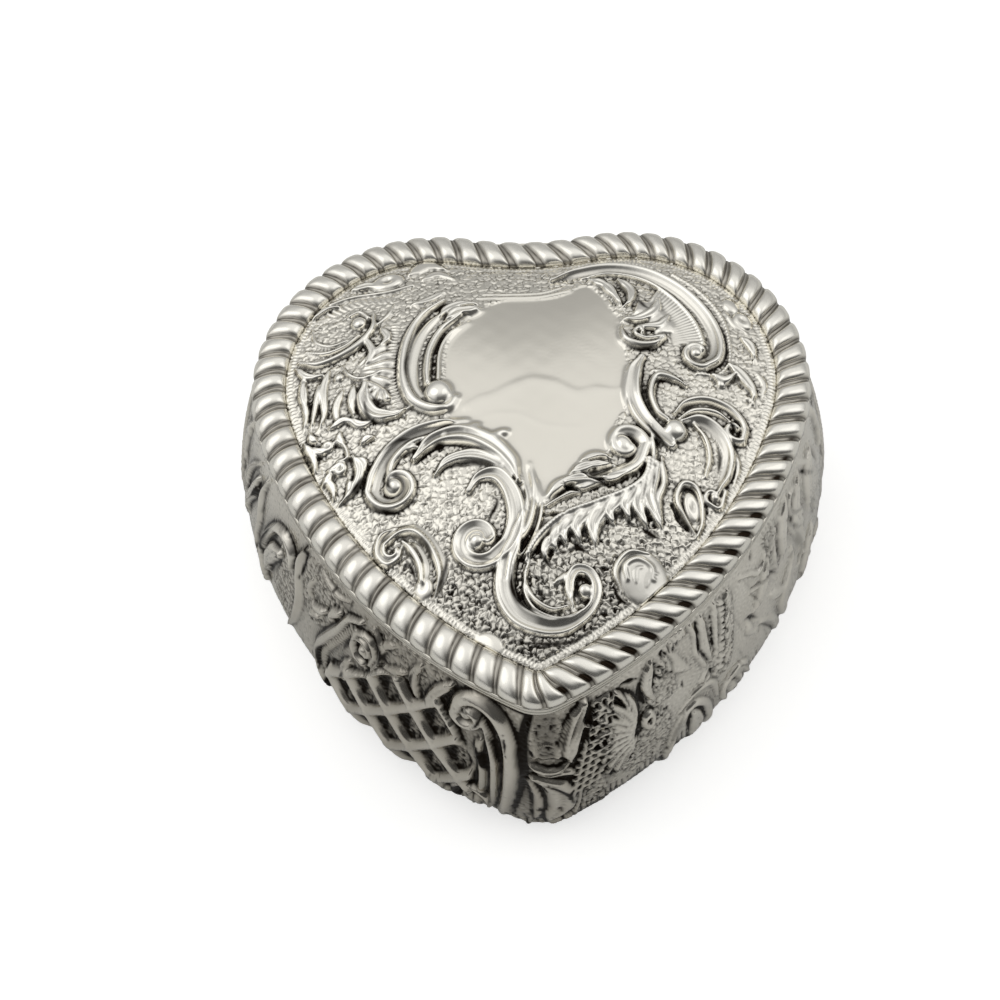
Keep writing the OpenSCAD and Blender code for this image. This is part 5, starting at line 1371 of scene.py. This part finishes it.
    scroll(f, [(-51.4, 31), (-51.9, 27), (-51.4, 22.6)], 0.9, 0.6, taper=(0.3, 1, 0.3))
    leaf(f, [(-58.4, 21), (-56.6, 23), (-54, 26)], 1.6, 0.7, notches=3)
    leaf(f, [(-61, 22), (-63, 17.6), (-65.6, 14)], 2.0, 0.6, hollow=0.4)
    leaf(f, [(-53.4, 20.6), (-52.8, 17), (-50.4, 15)], 1.5, 0.55)
    scroll(f, [(-60.6, 32.4), (-64, 28), (-67.6, 21)], 1.2, 0.6, taper=(0.3, 1, 0.3))
    scroll(f, [(-57.4, 13), (-60.6, 8), (-61, 3)], 1.4, 0.6, taper=(0.3, 1, 0.3))
    scroll(f, [(-70, 4), (-66, 6.4), (-61.6, 6)], 1.1, 0.6, taper=(0.3, 1, 0.3))

    for points, width in (([(-60, 31), (-57, 27), (-56.6, 21), (-58, 15)], 3.4),
                          ([(-54.4, 32), (-51.6, 27.6), (-50.4, 22)], 3.0),
                          ([(-66, 30), (-63, 26), (-61.6, 20)], 3.4),
                          ([(-52, 17), (-49.4, 12), (-49.8, 6)], 3.0),
                          ([(-62, 14), (-58.6, 9.6), (-57, 4)], 3.2),
                          ([(-46.4, 27), (-43.6, 22.6), (-40.8, 20.4)], 2.6)):
        leaf(f, points, width, 0.75, hollow=0.35, taper=(0.2, 0.9, 1, 0.8, 0.1))

    # engraved lines on the right, where the sheet is only lightly raised
    f["relief"] *= np.interp(f["u"], (-74, -70, -50, -24, -12), (1, 0.9, 0.8, 0.55, 1))[None, :]
    lines = (((-21.4, 33), (-22.6, 29), (-22.2, 25)), ((-16.2, 31), (-14.4, 31.8), (-13.6, 32)),
             ((-16.4, 29.6), (-16.2, 27), (-16.8, 24.6)), ((-7.4, 33), (-6, 29.6), (-4.4, 26.8)),
             ((-6.6, 33), (-5.2, 29.8), (-3.4, 26.6)), ((-28.6, 32.6), (-28.2, 29.4), (-27.6, 25)),
             ((-31.6, 31), (-31, 27), (-30.6, 22)), ((-33, 31.6), (-32.6, 27), (-31.4, 22)),
             ((-23.6, 14.6), (-22, 12), (-20.2, 8.6)), ((-27.8, 8), (-27.2, 11.6), (-25.8, 13)),
             ((-25, 12.6), (-24.6, 10), (-24.8, 7.6)), ((-30.6, 17.4), (-29.2, 19), (-28, 17.8)),
             ((-43, 33), (-42.6, 31)), ((-48.6, 20), (-46.6, 23), (-43.4, 24.6), (-41.4, 25.8)),
             ((-46.6, 6), (-45, 10.6), (-42.2, 15), (-41.8, 13.4)), ((-50.8, 2), (-49.6, 5.6), (-47.8, 9)),
             ((-39.4, 4), (-38.6, 8.4), (-35.6, 11.6)), ((-36.6, 5), (-35.6, 8), (-34.6, 9.2)),
             ((-57.6, 30.4), (-56, 30.8), (-55, 28.8), (-56, 26.4), (-58.6, 24), (-58.8, 22.4)),
             ((-52.6, 29), (-54, 26), (-56, 22.4), (-57.4, 21)),
             ((-54.6, 24), (-55.8, 19.6), (-56.6, 16), (-55.4, 13)), ((-53.4, 20), (-52.6, 18)),
             ((-61.6, 22.6), (-63, 19), (-65, 16)), ((-61.2, 21), (-62.6, 17.6), (-64, 14)),
             ((-60, 31), (-63, 27), (-65.6, 23)), ((-66, 30), (-67.6, 25), (-68.6, 21)),
             ((-41.6, 17.6), (-40, 20), (-38.6, 21)), ((-48.4, 31), (-47.4, 28)),
             ((-46.8, 31.6), (-46.4, 29)), ((-50, 30), (-49.4, 26), (-49.6, 22)))
    for k, points in enumerate(lines):
        cut(f, withMiddle(points, 0.1), 0.9 + 0.2 * (k % 3), 0.3, dark=0.4)
    rng = np.random.default_rng(41)
    for k in range(22):  # short hatching, leaning down to the tip
        a, b = -30 - 18 * rng.random(), 3 + 28 * rng.random()
        cut(f, [(a, b + 1.6), (a - 0.5, b), (a - 1.3, b - 1.8 - 2 * rng.random())], 0.5, 0.12, dark=0.25)
    for k in range(20):  # upright flutes over the foot
        a = -4.4 - 1.04 * k
        cut(f, [(a, 9.4 - 1.2 * math.sin(k)), (a - 0.3, 6), (a - 1.0, 1.6)], 0.5, 0.24)
    for a, b in ((-24.4, 33), (-23.6, 32.8), (-22.7, 33), (-21.4, 33)):
        cut(f, [(a, b), (a + 0.2, b - 0.7), (a + 0.1, b - 1.6)], 0.6, 0.3)
    # short strokes of painted shade
    for a, b in ((-19.6, 31.4), (-20.4, 30.2), (-20.8, 29), (-21.5, 27.6)):
        paintShade(f, [(a - 0.6, b - 0.3), (a, b), (a + 0.6, b)], 0.7)
    # more short strokes of painted shade
    for a, b in ((-20.6, 19.6), (-19.6, 19.2), (-18.8, 20.2), (-24, 22), (-21.2, 24)):
        paintShade(f, [(a, b + 0.7), (a + 0.1, b), (a, b - 0.7)], 0.7, 0.9)

    for k in range(2):
        sideMotif(f, 84 + 30 * k, 1)
        sideMotif(f, -84 - 30 * k, -1)

    # shallow flutes along the foot, where nothing else reaches down
    for k in range(-128, 129):
        a = k * 1.03
        column = min(np.searchsorted(f["u"], a), len(f["u"]) - 1)
        if f["relief"][np.searchsorted(f["v"], 3.4), column] < 0.1:
            cut(f, [(a, 7.6 + 1.4 * math.sin(k * 1.7)), (a - 0.3, 4.6), (a - 0.9, 1.2)], 0.5, 0.16)


# how far the solid wall reaches to each side, in mm
wallReach = [[c / mm for c in corner][:2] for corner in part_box("wall_shell")]


def makeWall(settings):
    mid = halfLength
    fine = np.arange(mid - settings["fineReach"], mid + settings["fineReach"], settings["fineStep"])
    before = np.arange(0, mid - settings["fineReach"] - 0.1, settings["coarseStep"])
    after = np.arange(fine[-1] + settings["coarseStep"], 2 * halfLength - 0.1, settings["coarseStep"])
    u = np.concatenate([before, fine, after]) - mid
    v = np.linspace(level["wallFoot"], level["wallTop"] - settings["clear"], settings["rows"])
    f = newField(u, v)
    chaseWall(f)
    relief = settings["relief"] * blurred(f["relief"], 0.6)
    faint = np.interp(u, (-74, -68, -50, -36), (0.2, 0.5, 0.5, 0))[None]  # rubbed smooth at the right
    relief = relief + (blurred(relief, 1.4) - relief) * faint
    # dies away to the foot
    relief = relief * np.clip((v - level["wallFoot"]) / settings["footSpan"], 0.04, 1)[:, None]
    stones, seamShade = pebbled(f, settings["pebble"], 23)
    # lines of painted shade between the grains, widened
    seamShade = seamShade ** 0.6
    bare = bareGround(f, f["plain"])
    slope = np.hypot(np.gradient(relief, v, axis=0), np.gradient(relief, u, axis=1))
    # fine matting punched over the flats
    mat = grain(f, settings["mat"], 31) * np.clip(1.3 - 2.5 * slope, 0, 1)
    height = relief + settings["pebbleRise"] * stones * bare + settings["swell"] * softWaves(f, 14, 8)
    height = height + settings["matRise"] * mat * (1 - 0.6 * bare)
    # painted shade in the deepest punch marks, mostly right of the tip
    speckleShade = np.clip(-0.6 - mat, 0, 0.6) * np.interp(u, (-34, -20), (0.25, 1))[None]
    seamShade = np.maximum(settings["seamShadeGain"] * seamShade * bare, speckleShade)
    oxideShadeMask = recessOf(height, settings["fineStep"], (0.35, 0.9, 2.2), (5.0, 1.3, 0.8))
    # painted shade: the hollows are darkened more just right of the tip
    oxideShadeMask = oxideShadeMask * np.interp(u, (-34, -8, -2), (1.1, 1.45, 1))[None]
    oxideShadeMask = blurred(np.maximum(oxideShadeMask, np.maximum(seamShade, f["paintShade"])), 0.4)
    oxideShadeMask = oxideShadeMask + (blurred(oxideShadeMask, 1.4) - oxideShadeMask) * faint
    wearAndSheen = 0.35 * np.clip((relief - 0.7) / 0.6, 0, 1) + 0.3 * np.clip(mat, 0, 1)
    # painted sheen: more of the bare silver colour by place round the wall, most on the right and far left,
    # least at the tip and just left of it
    wearAndSheen = wearAndSheen + np.interp(u, (-64, -24, -10, -3, 24, 60), (0.9, 0.75, 0.4, 0.12, 0.1, 0.75))[None]
    edge, outward = outlineAt(u + mid)
    columns, rows = len(u), len(v)
    ground = wallOff(v)[:, None] - settings["sunk"] * np.clip((level["wallTop"] - v) / 1.5, 0, 1)[:, None]
    # where the heart reaches furthest the sheet is let in, so that its relief stays within the solid's reach
    room = np.full(columns, 9.0)
    for axis in range(2):
        limit = np.where(outward[:, axis] > 0, wallReach[1][axis], wallReach[0][axis])
        facing = np.abs(outward[:, axis]) > 0.3
        reach = (limit - edge[:, axis]) / np.where(facing, outward[:, axis], 1)
        room = np.where(facing, np.minimum(room, reach), room)
    room = room[None] - ground - settings["clear"]
    wide = settings["peakSpan"]
    peak = np.max([np.roll(height.max(0), k) for k in range(-wide, wide + 1)], axis=0)
    peak = np.mean([np.roll(peak, k) for k in range(-wide, wide + 1)], axis=0) + settings["clear"]
    letIn = np.clip(peak[None] - room, 0, settings["letIn"])
    off = ground - letIn + height * np.clip((room + letIn) / peak[None], 0, 1)
    flat = edge[None] + outward[None] * off[..., None]
    points = [np.dstack([flat, np.broadcast_to(v[:, None], (rows, columns))]).reshape(-1, 3)]
    inner = (*v[::-13], v[0])  # a few rings are enough for the plain inside
    for z in inner:
        flat = edge + outward * (wallOff(z) - level["sheet"] - settings["clear"])
        points.append(np.column_stack([flat, np.full(columns, z)]))
    faces = ringFaces(rows + len(inner), columns, looped=True)
    spare = np.zeros(len(inner) * columns)
    values = {"oxideShadeMask": [*oxideShadeMask.ravel(), *spare], "wearAndSheen": [*wearAndSheen.ravel(), *spare]}
    return meshPiece("wallChased", np.vstack(points), faces, "box_body", silverWallShaded, ["wall_shell"],
                     values)


wallPiece = makeWall(wallSheet)
print("wall", len(wallPiece.data.polygons), "faces")

# Wires and bezel: plain drawn wire bent round the heart. A section is outer, inner, low, high, corner radius
wires = {
    "columns": 520,
    "mouth": (float(wallOff(level["wallTop"])) + 0.15, -1.4, level["wallTop"], level["mouth"], 0.22),
    "edge": (-0.15, -1.12, level["joint"], level["border"] - 0.02, 0.25),
    "bezel": (-1.42, -2.12, level["bezelFoot"], level["bezelTop"], 0.15),
}
for name, section, body, node in (("mouthWireDrawn", "mouth", "box_body", "mouth_wire"),
                                  ("edgeWireDrawn", "edge", "lid", "edge_wire"),
                                  ("bezelRolled", "bezel", "box_body", "inner_bezel")):
    points, faces = sweepRings(roundedBand(*wires[section]), wires["columns"])
    meshPiece(name, points, faces, body, silverPlain, [node])

# Base: flat plate with a softened edge, from the middle of its underside to the middle of its top
basePlate = {
    "columns": 520,
    "profile": ((-0.6, 0.0), (0.1, 0.0), (0.26, 0.1), (0.3, 0.3), (0.3, 0.6), (0.24, 0.78), (-0.6, 0.8)),
}
points, faces = sweepRings(basePlate["profile"], basePlate["columns"], looped=False)
meshPiece("basePlateRolled", points, faces, "box_body", silverPlain, ["base_plate"])

# hinge parts and cards keep their CAD shape
for node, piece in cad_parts.items():
    name = node.lower()
    keep = card if "card" in name else silverPlain
    if any(word in name for word in ("hinge", "knuckle", "pin", "card")):
        piece.data.materials.clear()
        piece.data.materials.append(keep)
print("wires, base and hinge ready")

# Velvet and silk: pads are full in the middle and roll over at the edge, with a few soft puckers behind it
basePad = {"off": -3.62, "low": 1.62, "thick": 3.6, "roll": 1.7}
lidPad = {"share": 0.9574, "roll": 1.0}
stuffing = {"edgeFull": 0.94, "crown": 0.06, "pucker": 0.10, "puckers": 46, "columns": 420}


def makePad(name, edgePoints, low, high, roll, body, material, node, upward):
    n = len(edgePoints)
    spokes = edgePoints - domeCentre
    reach = np.hypot(spokes[:, 0], spokes[:, 1])
    half = (high - low) / 2
    crown = half * stuffing["crown"]
    rows = []
    for k in range(11):
        a = math.pi * k / 10 - math.pi / 2
        share = 1 - roll * (1 - math.cos(a)) / reach
        rows.append((share, (low + high) / 2 + half * (stuffing["edgeFull"] * math.sin(a))))
    for share in (0.9, 0.82, 0.72, 0.6, 0.46, 0.3, 0.14):
        rows.append((np.full(n, share), high - crown + crown * (1 - share ** 2)))
    angle = np.arange(n) * 2 * math.pi / n
    folds = stuffing["pucker"] * np.sin(angle * stuffing["puckers"] + 2.0 * np.sin(angle * 5))
    points = []
    for k, (share, z) in enumerate(rows):
        flat = domeCentre + spokes * share[:, None]
        pucker = folds * math.exp(-((k - 7) / 3.0) ** 2) * (k > 4)
        points.append(np.column_stack([flat, np.minimum(z + pucker, high)]))
    faces = ringFaces(len(rows), n)
    points = np.vstack(points)
    i, j = np.arange(n), (np.arange(n) + 1) % n
    a, b, top = len(points), len(points) + 1, (len(rows) - 1) * n
    points = np.vstack([points, [*domeCentre, low + crown], [*domeCentre, points[top:, 2].mean()]])
    faces += np.column_stack([np.full(n, a), i, j]).tolist()
    faces += np.column_stack([np.full(n, b), top + j, top + i]).tolist()
    if not upward:
        points[:, 2] = low + high - points[:, 2]
        faces = [face[::-1] for face in faces]
    piece = meshPiece(name, points, faces, body, material, [node])


edge, outward = outlineAt(np.linspace(0, 2 * halfLength, stuffing["columns"], endpoint=False))
makePad("basePadVelvet", edge + basePad["off"] * outward, basePad["low"], basePad["low"] + basePad["thick"],
        basePad["roll"], "box_body", velvet, "base_pad", True)
padLow, padHigh = [corner.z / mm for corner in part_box("lid_pad")]
makePad("lidPadSilk", domeCentre + lidPad["share"] * (edge + panelOff * outward - domeCentre), padLow,
        padHigh, lidPad["roll"], "lid", silk, "lid_pad", False)

# Side lining: velvet strip round the inside, folded over along its top edge
sideLining = {"section": (-2.42, -3.32, 1.62, 33.5, 0.42), "foldSteps": 5, "columns": 420}
strip = roundedBand(*sideLining["section"], sideLining["foldSteps"])
points, faces = sweepRings(strip, sideLining["columns"])
meshPiece("sideLiningVelvet", points, faces, "box_body", velvet, ["side_lining"])
print("pads and lining ready")
